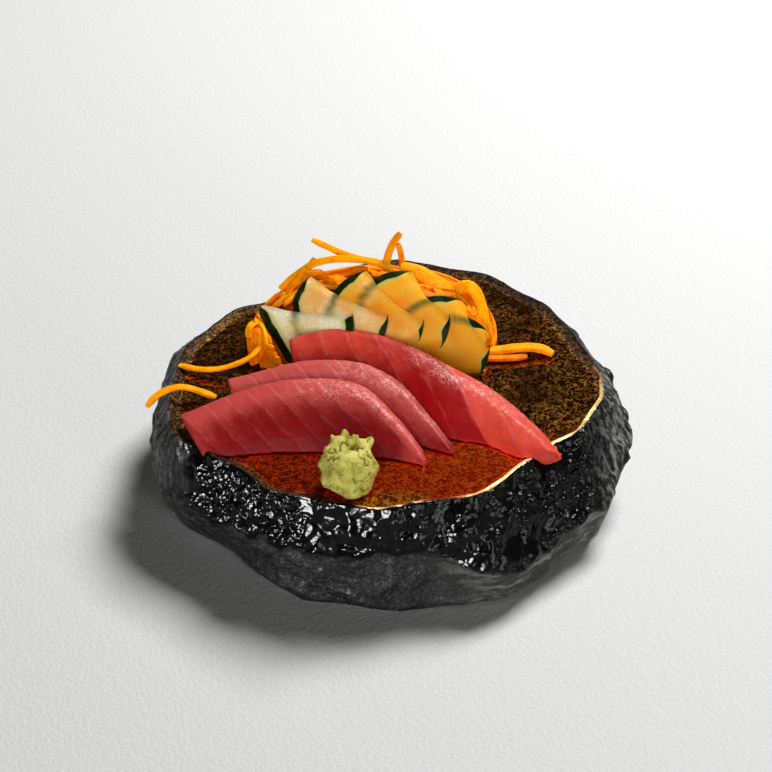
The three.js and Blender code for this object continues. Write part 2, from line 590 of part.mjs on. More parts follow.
// ---------------------------------------------------------------- the whole dish
const stone = { color: 0x141414, roughness: 0.3 };
const tunaFlesh = { color: 0xc23b40, roughness: 0.35 };
const cucumberFlesh = { color: 0xc9c67a, roughness: 0.3 };
const carrotFlesh = { color: 0xf58a0c, roughness: 0.5 };
const wasabiPaste = { color: 0xb9bd5e, roughness: 0.75 };

const plateCutter = plateSolid(GAP);
const dish = new THREE.Group();
dish.add(meshOf('rock_plate', plateSolid(), stone));

const tunaCutters = TUNA_SLICES.map((_, i) => tunaSolid(i, GAP));
TUNA_SLICES.forEach((_, i) => {
  let slice = tunaSolid(i).subtract(plateCutter);
  if (i + 1 < TUNA_SLICES.length) slice = slice.subtract(tunaCutters[i + 1]);
  dish.add(meshOf(`tuna_slice_${i + 1}`, largestSkin(slice), tunaFlesh));
});

CUCUMBER_SLICES.forEach((_, i) => {
  const slice = cucumberSolid(i).subtract(plateCutter).subtract(tunaCutters.at(-1));
  dish.add(meshOf(`cucumber_slice_${i + 1}`, largestSkin(slice), cucumberFlesh));
});

// The heap keeps clear of the slices, and nothing of it lies in front of them.
const fanRoom = { below: GAP, above: CUCUMBER_KEEPS_CLEAR, grow: GAP };
const fanCutters = CUCUMBER_SLICES.map((_, i) => cucumberSolid(i, fanRoom));
const tunaRoom = TUNA_SLICES.map((_, i) => tunaSolid(i, GAP, TUNA_KEEPS_CLEAR));
const heap = carrotHeap([plateCutter, ...tunaRoom, ...fanCutters]);
dish.add(meshOf('carrot_heap', heap, carrotFlesh));
dish.add(meshOf('wasabi', wasabiSolid(), wasabiPaste));

dish.position.set(...ORIGIN_SHIFT, 0);
export default dish;
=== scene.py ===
# %% [markdown]
# # A dressed sashimi plate
#
# This lesson finishes a dish whose solids are already built: a thick stone-look plate, three slices of
# tuna, a fan of cucumber slices, a heap of carrot shreds and a ball of wasabi. The solids give every
# size and place. Each step below makes one real material out of them: chipped glazed stone, moist raw
# fish, striped cucumber, cut carrot and pressed paste.
#
# The first cell loads the solids and keeps the box round them, so that the finished dish can be
# measured against it at the end.

# %% Load the solids
import json
import math
import random

import bpy
import numpy as np
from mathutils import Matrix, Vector
from mathutils.bvhtree import BVHTree

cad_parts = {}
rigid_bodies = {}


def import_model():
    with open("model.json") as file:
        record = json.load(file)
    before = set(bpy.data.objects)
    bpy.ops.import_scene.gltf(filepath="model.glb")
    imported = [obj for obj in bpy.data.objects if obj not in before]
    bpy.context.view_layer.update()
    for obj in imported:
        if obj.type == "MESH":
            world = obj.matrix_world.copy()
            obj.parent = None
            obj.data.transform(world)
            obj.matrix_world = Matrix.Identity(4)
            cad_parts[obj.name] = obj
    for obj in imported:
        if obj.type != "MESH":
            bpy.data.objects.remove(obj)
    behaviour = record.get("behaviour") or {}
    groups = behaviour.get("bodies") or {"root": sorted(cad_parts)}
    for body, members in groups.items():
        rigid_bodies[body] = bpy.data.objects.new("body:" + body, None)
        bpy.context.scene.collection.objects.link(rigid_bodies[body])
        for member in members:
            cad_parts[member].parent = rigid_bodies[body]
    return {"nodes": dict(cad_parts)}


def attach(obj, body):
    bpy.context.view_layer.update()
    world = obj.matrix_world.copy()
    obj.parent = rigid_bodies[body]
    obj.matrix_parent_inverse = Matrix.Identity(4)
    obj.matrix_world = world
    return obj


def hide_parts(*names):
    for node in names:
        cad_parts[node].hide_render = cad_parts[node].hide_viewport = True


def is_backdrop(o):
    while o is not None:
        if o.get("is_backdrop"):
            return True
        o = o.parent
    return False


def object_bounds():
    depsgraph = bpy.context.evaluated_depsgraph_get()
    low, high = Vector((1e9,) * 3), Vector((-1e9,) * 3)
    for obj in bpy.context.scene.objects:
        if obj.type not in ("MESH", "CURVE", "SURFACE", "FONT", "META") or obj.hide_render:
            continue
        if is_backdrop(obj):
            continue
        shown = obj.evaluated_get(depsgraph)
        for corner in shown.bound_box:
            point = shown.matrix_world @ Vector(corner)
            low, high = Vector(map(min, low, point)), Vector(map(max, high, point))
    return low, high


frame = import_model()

solid_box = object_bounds()
solids = frame["nodes"]
print("solids:", len(solids), "box mm:", [[round(1000 * v, 1) for v in corner] for corner in solid_box])

# %% [markdown]
# ## Places and units
#
# Blender works in metres, while a dish like this is thought of in millimetres. The plate's own middle
# lies a little beside the origin, because the origin is under the middle of the whole dish. Two small
# functions turn a place that is measured from the plate's middle into Blender's metres and back.

# %% Places and units
MM = 0.001
PLATE_MIDDLE = Vector((-2.3, -0.3, 0.0))   # mm, seen from the origin
GLAZE_HEIGHT = 39.2                        # mm, the flat top above the table
AIR = 0.32                                 # mm, kept between pieces that touch


def metres(place):
    """A place in millimetres from the plate's middle, in metres from the origin."""
    return (Vector(place) + PLATE_MIDDLE) * MM


def from_plate(points):
    """Rows of places in metres from the origin, in millimetres from the plate's middle."""
    return np.asarray(points) / MM - np.array(PLATE_MIDDLE)


print("middle of the glaze in metres:", tuple(round(v, 4) for v in metres((0, 0, GLAZE_HEIGHT))))

# %% [markdown]
# ## Sums in a node tree
#
# Materials and shape trees are full of sums such as `1 - mask`. Made by hand, each sum is a Math node
# and a few links. Here a small class wraps an output socket, so that a sum is written as a sum and the
# nodes appear by themselves. Colours and vectors keep their own nodes, because a Math node turns a
# colour grey.

# %% Wires and node trees
def math_node(operation, swapped=False):
    """A method for a wire that adds one Math node."""
    def method(self, *others):
        values = (*others, self) if swapped else (self, *others)
        return self.graph.node("ShaderNodeMath", {"operation": operation}, dict(enumerate(values)))
    return method


class Wire:
    """One output socket. Each operator adds the Math node that works it out."""

    def __init__(self, graph, made, output):
        self.graph = graph
        self.made = made
        self.socket = made.outputs[output]

    __add__ = math_node("ADD")
    __radd__ = math_node("ADD", swapped=True)
    __sub__ = math_node("SUBTRACT")
    __rsub__ = math_node("SUBTRACT", swapped=True)
    __mul__ = math_node("MULTIPLY")
    __rmul__ = math_node("MULTIPLY", swapped=True)
    __truediv__ = math_node("DIVIDE")
    __rtruediv__ = math_node("DIVIDE", swapped=True)
    __pow__ = math_node("POWER")
    __abs__ = math_node("ABSOLUTE")
    least = math_node("MINIMUM")
    most = math_node("MAXIMUM")
    sine = math_node("SINE")
    cosine = math_node("COSINE")
    arccosine = math_node("ARCCOSINE")
    arctangent = math_node("ARCTAN2")
    fraction = math_node("FRACT")

    def between(self, start, end, low=0.0, high=1.0):
        """Runs smoothly from low to high while this wire runs from start to end."""
        values = {0: self, 1: start, 2: end, 3: low, 4: high}
        return self.graph.node("ShaderNodeMapRange", {"interpolation_type": "SMOOTHSTEP"}, values)

    def also(self, output):
        """Another output of the same node."""
        return Wire(self.graph, self.made, output)


class Graph:
    """A node tree that is filled from the script."""

    def __init__(self, tree):
        self.tree = tree

    def node(self, kind, settings=None, values=None, output=0):
        """Adds a node with its settings, and its inputs set or linked. Returns one of its outputs."""
        made = self.tree.nodes.new(kind)
        for name, value in (settings or {}).items():
            setattr(made, name, value)
        for name, value in (values or {}).items():
            if isinstance(value, Wire):
                self.tree.links.new(value.socket, made.inputs[name])
            else:
                made.inputs[name].default_value = value
        return Wire(self, made, output) if made.outputs else made

    def mixed(self, factor, first, second):
        """A colour between two others."""
        return self.node("ShaderNodeMix", {"data_type": "RGBA"}, {0: factor, 6: first, 7: second}, 2)

    def along(self, vector, direction):
        """How far a place lies along a direction."""
        values = {0: vector, 1: direction}
        return self.node("ShaderNodeVectorMath", {"operation": "DOT_PRODUCT"}, values, "Value")

    def vectors(self, operation, *values):
        """A vector that is worked out from others."""
        return self.node("ShaderNodeVectorMath", {"operation": operation}, dict(enumerate(values)))

    def scaled(self, vector, factor):
        """A vector times a number."""
        return self.node("ShaderNodeVectorMath", {"operation": "SCALE"}, {0: vector, "Scale": factor})

    def joined(self, **parts):
        """A vector from its parts X, Y and Z."""
        return self.node("ShaderNodeCombineXYZ", None, parts)

    def split(self, vector):
        """The X part of a vector. Its Y and Z are other outputs of the same node."""
        return self.node("ShaderNodeSeparateXYZ", None, {"Vector": vector}, "X")

    def noise(self, vector, scale, detail=2.0, roughness=0.5, distortion=0.0, output=0):
        """Smooth noise from about 0.2 to 0.8, with an even 0.5. As "Color" it is three such numbers."""
        values = {"Vector": vector, "Scale": scale, "Detail": detail}
        values.update({"Roughness": roughness, "Distortion": distortion})
        return self.node("ShaderNodeTexNoise", None, values, output)

    def cells(self, vector, scale):
        """Distance to the nearest of many scattered points."""
        return self.node("ShaderNodeTexVoronoi", None, {"Vector": vector, "Scale": scale}, "Distance")


def colour(red, green, blue):
    """An opaque colour for a socket."""
    return (red, green, blue, 1.0)


print("wires ready:", [name for name in vars(Wire) if not name.startswith("_")])

# %% [markdown]
# ## Shape trees
#
# Geometry Nodes can move the points of a mesh by a rule, or sweep a section along many paths. Each
# tree here is made in the script, with its sizes as named inputs, and ends in the same way: what it
# made is turned into real geometry and gets its finish. The finished piece is kept as a plain mesh, so
# the modifier can go.

# %% Helpers for shape trees and meshes
SOCKET_KINDS = {float: "NodeSocketFloat", tuple: "NodeSocketVector"}
WELD_REACH = 0.001            # mm, between points of a solid that are one point


def open_tree(name, sizes):
    """A tree with a geometry input and a named input for each size. Returns it and its input wires."""
    tree = bpy.data.node_groups.new(name, "GeometryNodeTree")
    tree.interface.new_socket("Geometry", in_out="INPUT", socket_type="NodeSocketGeometry")
    tree.interface.new_socket("Geometry", in_out="OUTPUT", socket_type="NodeSocketGeometry")
    for size, value in sizes.items():
        socket = tree.interface.new_socket(size, in_out="INPUT", socket_type=SOCKET_KINDS[type(value)])
        socket.default_value = value
    graph = Graph(tree)
    return graph, graph.node("NodeGroupInput")


def close_tree(graph, geometry, finish):
    """Ends a tree: real geometry, in one finish."""
    real = graph.node("GeometryNodeRealizeInstances", None, {"Geometry": geometry})
    painted = graph.node("GeometryNodeSetMaterial", None, {"Geometry": real, "Material": finish})
    graph.node("NodeGroupOutput", None, {"Geometry": painted})


def kept_in_shape(graph, name):
    """In a shape tree: a number that the mesh keeps for each of its points."""
    return graph.node("GeometryNodeInputNamedAttribute", {"data_type": "FLOAT"}, {"Name": name})


def keeping(graph, geometry, name, value):
    """The geometry, whose points keep one more number."""
    values = {"Geometry": geometry, "Name": name, "Value": value}
    return graph.node("GeometryNodeStoreNamedAttribute", {"data_type": "FLOAT"}, values)


def warped(graph, place, scale, reach):
    """A place pushed about by noise, up to a reach in millimetres, so that patterns lose their order."""
    push = graph.noise(place, scale, output="Color")
    return graph.vectors("ADD", place, graph.scaled(push, reach * MM))


def moved_out(graph, geometry, distance, pull=None):
    """The geometry, whose points move out along their normals by a distance in metres, and by a pull."""
    offset = graph.scaled(graph.node("GeometryNodeInputNormal"), distance)
    if pull:
        offset = graph.vectors("ADD", offset, pull)
    return graph.node("GeometryNodeSetPosition", None, {"Geometry": geometry, "Offset": offset})


def plain_mesh(piece):
    """The mesh that a piece's modifiers make."""
    depsgraph = bpy.context.evaluated_depsgraph_get()
    return bpy.data.meshes.new_from_object(piece.evaluated_get(depsgraph))


def new_piece(name, mesh):
    """A piece in the scene, at the origin."""
    piece = bpy.data.objects.new(name, mesh)
    bpy.context.scene.collection.objects.link(piece)
    return piece


def grown(piece, graph, sizes):
    """Runs a shape tree on a piece, after its other modifiers, and gives back a plain mesh piece."""
    modifier = piece.modifiers.new("shape", "NODES")
    modifier.node_group = graph.tree
    sockets = {item.name: item.identifier for item in graph.tree.interface.items_tree}
    for size, value in sizes.items():
        modifier[sockets[size]] = value
    mesh = plain_mesh(piece)
    name = piece.name
    bpy.data.objects.remove(piece)
    mesh.name = name
    return new_piece(name, mesh)


def triangles_of(piece):
    """How many triangles a piece has."""
    piece.data.calc_loop_triangles()
    return len(piece.data.loop_triangles)


def mesh_from(name, points, faces):
    """A smooth mesh from places in metres."""
    mesh = bpy.data.meshes.new(name)
    mesh.from_pydata([tuple(point) for point in points], [], faces)
    mesh.update()
    mesh.shade_smooth()
    return mesh


def skin_of_rings(name, rings, first_pole, last_pole):
    """A closed mesh of rings of places in mm, all with the same number of points, and of two poles."""
    around = len(rings[0])
    places = [place for ring in rings for place in ring] + [first_pole, last_pole]
    top = (len(rings) - 1) * around
    faces = []
    for i in range(around):
        after = (i + 1) % around
        for low in range(0, top, around):
            faces.append((low + i, low + after, low + around + after, low + around + i))
        faces.append((len(places) - 2, after, i))
        faces.append((len(places) - 1, top + i, top + after))
    return mesh_from(name, [metres(place) for place in places], faces)


def store(mesh, name, values):
    """Keeps one number for each point of a mesh, for its finish and its shape tree."""
    attribute = mesh.attributes.new(name, "FLOAT", "POINT")
    attribute.data.foreach_set("value", np.asarray(values, dtype=np.float32))


def solid_copy(node, name, voxel, smooth_rounds):
    """A finely and evenly meshed copy of a solid, with its hard facets smoothed away."""
    copy = new_piece(name, solids[node].data.copy())
    weld = copy.modifiers.new("weld", "WELD")
    weld.merge_threshold = WELD_REACH * MM
    remesh = copy.modifiers.new("remesh", "REMESH")
    remesh.mode = "VOXEL"
    remesh.voxel_size = voxel * MM
    smooth = copy.modifiers.new("smooth", "SMOOTH")
    smooth.factor = 0.5
    smooth.iterations = smooth_rounds
    mesh = plain_mesh(copy)
    bpy.data.objects.remove(copy)
    mesh.shade_smooth()
    mesh.materials.clear()
    return mesh


def sides_of(piece):
    """The sides of the box round a piece, in millimetres."""
    return [round(side / MM, 1) for side in piece.dimensions]


def points_of(mesh):
    """The points of a mesh, one in each row."""
    flat = np.empty(3 * len(mesh.vertices))
    mesh.vertices.foreach_get("co", flat)
    return flat.reshape(-1, 3)


def new_finish(name):
    """A material with its shader and its output, empty of anything else."""
    material = bpy.data.materials.new(name)
    material.use_nodes = True
    material.node_tree.nodes.clear()
    return material, Graph(material.node_tree)


def shade(graph, values):
    """Ends a material: the shader with these values and links, and the output."""
    shader = graph.node("ShaderNodeBsdfPrincipled", None, values)
    graph.node("ShaderNodeOutputMaterial", None, {"Surface": shader})


def place_on_piece(graph):
    """The place of a point in metres, which stays with the piece."""
    return graph.node("ShaderNodeTexCoord", None, None, "Object")


def kept_number(graph, name):
    """In a finish: a number that the mesh keeps for each of its points."""
    return graph.node("ShaderNodeAttribute", {"attribute_name": name}, None, "Fac")


def bumped(graph, height, depth_mm, strength=1.0):
    """A normal that follows a small height, which runs from 0 to 1 over a depth in millimetres."""
    values = {"Height": height, "Distance": depth_mm * MM, "Strength": strength}
    return graph.node("ShaderNodeBump", None, values)


print("helpers ready")

# %% [markdown]
# ## Camera
#
# The dish is seen from the front, from 35 degrees above the table, from about three quarters of a
# metre away. A long lens keeps the plate's sides from spreading.

# %% Camera
CAMERA_ELEVATION = 35.0       # degrees
CAMERA_DISTANCE = 760.0       # mm
CAMERA_TARGET = (0.0, -7.0, 40.0)          # mm, from the plate's middle
CAMERA_LENS = 101.24          # mm
FILM_WIDTH = 36.0             # mm

tilt = math.radians(CAMERA_ELEVATION)
towards_camera = Vector((0, -math.cos(tilt), math.sin(tilt)))
camera_data = bpy.data.cameras.new("camera")
camera_data.sensor_width = FILM_WIDTH
camera_data.lens = CAMERA_LENS
camera = bpy.data.objects.new("camera", camera_data)
camera.location = metres(Vector(CAMERA_TARGET) + CAMERA_DISTANCE * towards_camera)
camera.rotation_mode = "QUATERNION"
camera.rotation_quaternion = (-towards_camera).to_track_quat("-Z", "Y")
bpy.context.scene.collection.objects.link(camera)
bpy.context.scene.camera = camera
print("camera stands", round(camera.location.length, 3), "m from the origin")

# %% [markdown]
# ## Table and light
#
# The dish stands on a pale table with a faint leather grain. A large soft lamp behind and above its
# right side is the main light: it draws the edges of the fish and throws a soft shadow to the front
# left. Everything else would be black without help from the front, and one lamp there would grey the
# wet stone and the glaze, which mirror it.
#
# So the help comes from small lamps with one task each. One low lamp lights only the plate and the
# table, and a broad one lights only the food. Two more show in the wet stone as glints and light
# nothing else: they don't reach matt surfaces. The room is dim, because the glaze mirrors it too.

# %% Table
TABLE_SIZE = 4.0              # m, across
TABLE_HALF = TABLE_SIZE / 2

table_finish, graph = new_finish("table_finish")
place = place_on_piece(graph)
shade(graph, {
    "Base Color": colour(0.61, 0.61, 0.608),
    "Roughness": 0.7,
    "Specular IOR Level": 0.0,
    "Normal": bumped(graph, graph.noise(place, 900.0, 3.0) + 0.8 * graph.cells(place, 650.0), 0.28, 0.5),
})
corners = [(x * TABLE_HALF, y * TABLE_HALF, 0) for x, y in ((-1, -1), (1, -1), (1, 1), (-1, 1))]
table = new_piece("table", mesh_from("table", corners, [(0, 1, 2, 3)]))
table.data.materials.append(table_finish)
table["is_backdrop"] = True
print("table", TABLE_SIZE, "m across")

# %% Lamps and room
LAMPS = {
    # name: (place in metres, size in metres, watts)
    "key_lamp": ((0.50, 0.62, 1.10), 0.5, 28.5),
    "wall_lamp": ((0.55, -0.95, 0.20), 0.36, 4.2),
    "food_lamp": ((-0.06, -0.98, 0.38), 0.80, 10.6),
    "left_gleam": ((-0.62, -0.88, 0.36), 0.50, 80.0),
    "right_gleam": ((0.80, -0.70, 0.45), 0.40, 4.0),
}
LAMPS_POINT_TO = Vector((0, 0, 0.03))         # m
ONLY_GLEAMS = ("left_gleam", "right_gleam")   # they show in wet surfaces, and light nothing
LIT_PIECES = {
    # name of the lamp: first words of the names of the pieces that it lights
    "wall_lamp": ("plate", "table"),
    "food_lamp": ("tuna", "cucumber", "carrot", "wasabi"),
    "left_gleam": ("plate",),
    "right_gleam": ("plate",),
}
ROOM_BRIGHTNESS = 0.05

lit_only = {name: bpy.data.collections.new(f"lit_by_{name}") for name in LIT_PIECES}
for name, (place, size, watts) in LAMPS.items():
    lamp_data = bpy.data.lights.new(name, "AREA")
    lamp_data.size = size
    lamp_data.energy = watts
    lamp = bpy.data.objects.new(name, lamp_data)
    lamp.location = place
    lamp.visible_diffuse = name not in ONLY_GLEAMS
    if name in lit_only:
        lamp.light_linking.receiver_collection = lit_only[name]
    lamp.rotation_mode = "QUATERNION"
    lamp.rotation_quaternion = (LAMPS_POINT_TO - Vector(place)).to_track_quat("-Z", "Y")
    bpy.context.scene.collection.objects.link(lamp)

# The plain view keeps strong colours as they are, where the filmic one would wash them out.
bpy.context.scene.view_settings.view_transform = "Standard"

room = bpy.data.worlds.new("room")
room.use_nodes = True
room.node_tree.nodes["Background"].inputs["Color"].default_value = colour(1.0, 0.965, 0.92)
room.node_tree.nodes["Background"].inputs["Strength"].default_value = ROOM_BRIGHTNESS
bpy.context.scene.world = room
print("lamps:", sorted(LAMPS))

# %% [markdown]
# ## The plate's skin
#
# The real plate is a cast stoneware slab whose sides are chipped like broken rock, in two bands that
# meet at a ridge, and whose top is flat under a brown lustre glaze. The solid already has the outline,
# the ridge and the broad chips. For the small chips the skin needs a fine, even mesh, and most of it
# on the wall.
#
# A subdivided copy of the solid would waste its faces on the flat top. So a new skin is laid over the
# solid, ring by ring: rays that are shot inwards find the wall, and rays that are shot down find the
# lip and the glaze. Where the upper band ends, at the ridge, the skin is pushed up and down into lobes,
# like the lower edge of a thick coat that ran.
#
# For its finish and its chips, each point keeps two numbers: its share of the upper band, and how far
# inside the rim it lies.

# %% Rays on the plate's solid
AROUND = 800                  # points in each ring
WALL_RINGS = 96
WALL_TOP = GLAZE_HEIGHT - 0.15   # mm above the table
FOOT_TOP = 0.02               # mm above the table
LIP_INSETS = [0.35, 0.8, 1.25, 1.7, 2.15, 2.6, 3.1, 4.2, 6.5]   # mm inside the top of the wall
GLAZE_SHARES = [0.85, 0.75, 0.65, 0.55, 0.45, 0.35, 0.26, 0.18, 0.11, 0.05]   # of the lip's last ring
FOOT_SHARES = [0.04, 0.3, 0.65]   # of the wall's lowest ring
INNERMOST = 10.0              # mm inside the rim, for all of the flat glaze
FAR = 200.0                   # mm, where the rays start
WALL_SOFTENING = 5            # rounds
RIDGE_BETWEEN = (9, 32)       # mm above the table, where the ridge can be


def rays_on(pieces):
    """One ray tree for several pieces."""
    points, faces = [], []
    for piece in pieces:
        faces += [tuple(i + len(points) for i in face.vertices) for face in piece.data.polygons]
        points += [vertex.co.copy() for vertex in piece.data.vertices]
    return BVHTree.FromPolygons(points, faces)


plate_rays = rays_on([solids["rock_plate"]])


def wall_radius(angle, height):
    """How far the wall stands from the plate's middle at an angle and a height, in millimetres."""
    outwards = Vector((math.cos(angle), math.sin(angle), 0))
    start = metres(FAR * outwards + Vector((0, 0, height)))
    hit = plate_rays.ray_cast(start, -outwards)[0]
    return (hit / MM - PLATE_MIDDLE).to_2d().length


def top_height(angle, radius):
    """The height of the lip or the glaze at an angle and a distance from the middle."""
    start = metres((radius * math.cos(angle), radius * math.sin(angle), FAR))
    hit = plate_rays.ray_cast(start, Vector((0, 0, -1)))[0]
    return hit.z / MM


def softened(rings, rounds):
    """Radii with each value eased towards its neighbours round the wall and up the wall."""
    for _ in range(rounds):
        beside = np.roll(rings, 1, axis=1) + np.roll(rings, -1, axis=1)
        rings = 0.5 * rings + 0.25 * beside
        rings[1:-1] = 0.6 * rings[1:-1] + 0.2 * (rings[:-2] + rings[2:])
    return rings


angles = np.linspace(0, 2 * math.pi, AROUND, endpoint=False)
wall_heights = np.linspace(FOOT_TOP, WALL_TOP, WALL_RINGS)
radii = np.array([[wall_radius(angle, height) for angle in angles] for height in wall_heights])
# The ridge is where the wall steps outwards most on its way up.
heights = wall_heights[1:]
can_be_ridge = (heights > RIDGE_BETWEEN[0]) & (heights < RIDGE_BETWEEN[1])
steps = np.diff(radii, axis=0)[can_be_ridge]
ridge_heights = heights[can_be_ridge][steps.argmax(axis=0)]
radii = softened(radii, WALL_SOFTENING)
print("wall radius mm:", radii.min().round(1), "to", radii.max().round(1))
print("ridge height mm:", ridge_heights.min().round(1), "to", ridge_heights.max().round(1))

# %% Skin of the plate
LOBES = 38                    # round the ridge
LOBE_DEPTH = 2.4              # mm
LOBE_FADE = 5.0               # mm from the ridge
LOBES_ABOVE = 6.0             # mm above the table, where they have their full depth
RIDGE_WIDTH = 1.5             # mm
RIDGE_SOFTENING = 12          # neighbours on each side


def median_round(values, reach):
    """Each value replaced by the middle one of its neighbours round the ring."""
    return np.median([np.roll(values, shift) for shift in range(-reach, reach + 1)], axis=0)


ridge_heights = median_round(ridge_heights, RIDGE_SOFTENING)
cos, sin = np.cos(angles), np.sin(angles)
lobes = np.abs(np.sin(LOBES / 2 * angles + 1.5 * np.sin(3 * angles) + 0.7 * np.sin(7 * angles)))
nothing, all_round = np.zeros(AROUND), np.ones(AROUND)
rings = []                    # each ring: (radii, heights, share of the upper band, mm inside the rim)
for share in FOOT_SHARES:
    rings.append((share * radii[0], nothing, nothing, 0.0))
for height, ring in zip(wall_heights, radii):
    upper = np.clip((height - ridge_heights) / RIDGE_WIDTH + 0.5, 0, 1)
    near_ridge = np.exp(-((height - ridge_heights) / LOBE_FADE) ** 2) * min(1.0, height / LOBES_ABOVE)
    heights = height + LOBE_DEPTH * (0.5 - lobes) * near_ridge
    rings.append((ring, nothing if height == FOOT_TOP else heights, upper, 0.0))
rim = radii[-1]
for inset in LIP_INSETS:
    heights = np.array([top_height(angle, radius) for angle, radius in zip(angles, rim - inset)])
    rings.append((rim - inset, heights, all_round, inset))
for share in GLAZE_SHARES:
    rings.append((share * (rim - LIP_INSETS[-1]), GLAZE_HEIGHT * all_round, all_round, INNERMOST))

ring_places = [np.column_stack((radius * cos, radius * sin, height)) for radius, height, _, _ in rings]
skin_mesh = skin_of_rings("plate", ring_places, (0, 0, 0), (0, 0, GLAZE_HEIGHT))
store(skin_mesh, "upper", np.concatenate([upper for _, _, upper, _ in rings] + [(0, 1)]))
store(skin_mesh, "inset", np.concatenate([inset * all_round for *_, inset in rings] + [(0, INNERMOST)]))
plate = new_piece("plate", skin_mesh)
print("skin of the plate:", triangles_of(plate), "triangles")

# %% [markdown]
# ## Finish of the stone
#
# One finish covers the whole plate, and its stone comes first. The upper band is black and wet. Along
# two stretches of the front it is lumpy, and the glints sit on the lumps. The lower band is a smoother
# dark grey. On both sides and at the back the stone stayed dry and rougher. The pale table that the
# stone mirrors is painted on it as a reflection, in upright grey streaks on the sides and in level
# layers low on the right.
#
# The lumps are geometry, in the shape tree further down, and only the grit between them is a bump. So
# both need to know where the stone is lumpy or dry, and ask the same two functions.

# %% Where the stone is lumpy or dry
LUMPY_STRETCHES = [(-80.0, -8.0), (36.0, 74.0)]   # mm from left to right, along the front
STRETCH_FADE = 4.0                                # mm on either side of where a stretch ends
DRY_BESIDE = (58.0, 80.0)     # mm to the left or right, from where the stone gets dry to where it is dry
DRY_BEHIND = (0.0, 30.0)      # the same towards the back


def across_table(graph, place):
    """How far a place lies to the right of the origin, and in front of it, in millimetres."""
    return graph.along(place, (1.0, 0.0, 0.0)) / MM, graph.along(place, (0.0, -1.0, 0.0)) / MM


def lumpiness(graph, place):
    """From 0 to 1: patches of lumps, dense on two stretches of the front, with a calm one between."""
    east, south = across_table(graph, place)
    patches = graph.noise(place, 75.0).between(0.40, 0.58)
    wavering = east + 30.0 * (graph.noise(place, 40.0, 1.0) - 0.5)
    dense = 0.0
    for start, end in LUMPY_STRETCHES:
        begun = wavering.between(start - STRETCH_FADE, start + STRETCH_FADE)
        ended = wavering.between(end - STRETCH_FADE, end + STRETCH_FADE)
        dense = dense + begun * (1 - ended)
    dense = dense * south.between(0.0, 25.0) * patches.between(0.15, 0.6, 0.15, 1.0)
    return 0.36 * patches + 0.55 * dense


def dryness(graph, place):
    """From 0 to 1: how dry the stone is."""
    east, south = across_table(graph, place)
    return abs(east).between(*DRY_BESIDE).most((-1.0 * south).between(*DRY_BEHIND))


print("lumpy stretches of the front:", LUMPY_STRETCHES)

# %% Colour, gloss and grit of the stone
STREAKS = ((1.0, 1.0, 0.3), 420.0)    # how the noise is stretched, and its scale
LAYERS = ((0.22, 0.22, 1.0), 420.0)

plate_finish, graph = new_finish("plate_finish")
place = place_on_piece(graph)
upper = kept_number(graph, "upper")
east, south = across_table(graph, place)
scuffs = graph.noise(place, 520.0, 4.0, 0.7, 0.8).between(0.40, 0.66)
mottle = graph.noise(place, 160.0, 4.0, 0.6)
pebbles = 1 - graph.cells(place, 560.0)
grit = graph.noise(place, 900.0, 3.0, 0.6)


def streaked(stretch, scale):
    """Streaks along the directions in which the stretch is small."""
    stretched = graph.vectors("MULTIPLY", place, stretch)
    return graph.noise(stretched, scale, 4.0, 0.65).between(0.44, 0.66)


lower_black = graph.mixed(0.6 * scuffs + 0.5 * mottle.between(0.35, 0.7),
                          colour(0.0008, 0.0008, 0.0008), colour(0.009, 0.009, 0.0087))
upper_black = graph.mixed(mottle.between(0.4, 0.75),
                          colour(0.002, 0.002, 0.002), colour(0.008, 0.008, 0.0075))
# Painted reflection of the pale table: light grey streaks on the sides, and level layers low on the right.
low_right = (1 - upper) * (east + 0.6 * south).between(54.0, 80.0)
painted_side_reflection = abs(east).between(66.0, 80.0) * streaked(*STREAKS) * (1 - low_right)
painted_low_reflection = (0.2 + 0.8 * streaked(*LAYERS)) * low_right
stone_colour = graph.mixed(upper, lower_black, upper_black)
stone_colour = graph.mixed(painted_side_reflection.most(painted_low_reflection), stone_colour, colour(0.20, 0.199, 0.192))
stone_roughness = upper.between(0.2, 0.9, 0.45, 0.13) + 0.08 * mottle
stone_roughness = stone_roughness.most(0.55 * dryness(graph, place))
stone_relief = upper * (0.08 + lumpiness(graph, place) * 0.60) * pebbles
stone_relief = stone_relief + 0.05 * grit + (1 - upper) * 0.25 * scuffs
print("stone:", len(graph.tree.nodes), "nodes")

# %% [markdown]
# ## Finish of the glaze
#
# The top is a lustre glaze: thin metal in it makes it a dark mirror full of wormlike flecks. Towards
# the back it is brown. Towards the front it is painted burnt orange and red, as the reflection of the
# fish and the carrot, and one golden patch behind the rim is the painted reflection of the wasabi. The
# lip all round stayed rough and dark. Along the front, and most on its right, a gold line of lustre
# runs along the lip. It is kept to that side, where the lamps glint in it, so it is partly a painted
# highlight.
#
# All of this is one shader, because the borders are soft. Each zone is a mask, and the masks mix the
# colours, the metal and the roughness.

# %% Colours of the glaze
inset = kept_number(graph, "inset")
worms = graph.noise(place, 620.0, 2.0, 0.55, 1.6)
bright_worms = worms.between(0.43, 0.60)
clouds = graph.noise(place, 55.0)
to_the_right = (east + 60.0 * (clouds - 0.5)).between(-30.0, 25.0)
# Where the reflection of the red fish and the orange carrot is painted into the front of the glaze.
front_painted_reflection = (south + 30.0 * (clouds - 0.5)).between(28.0, 50.0)

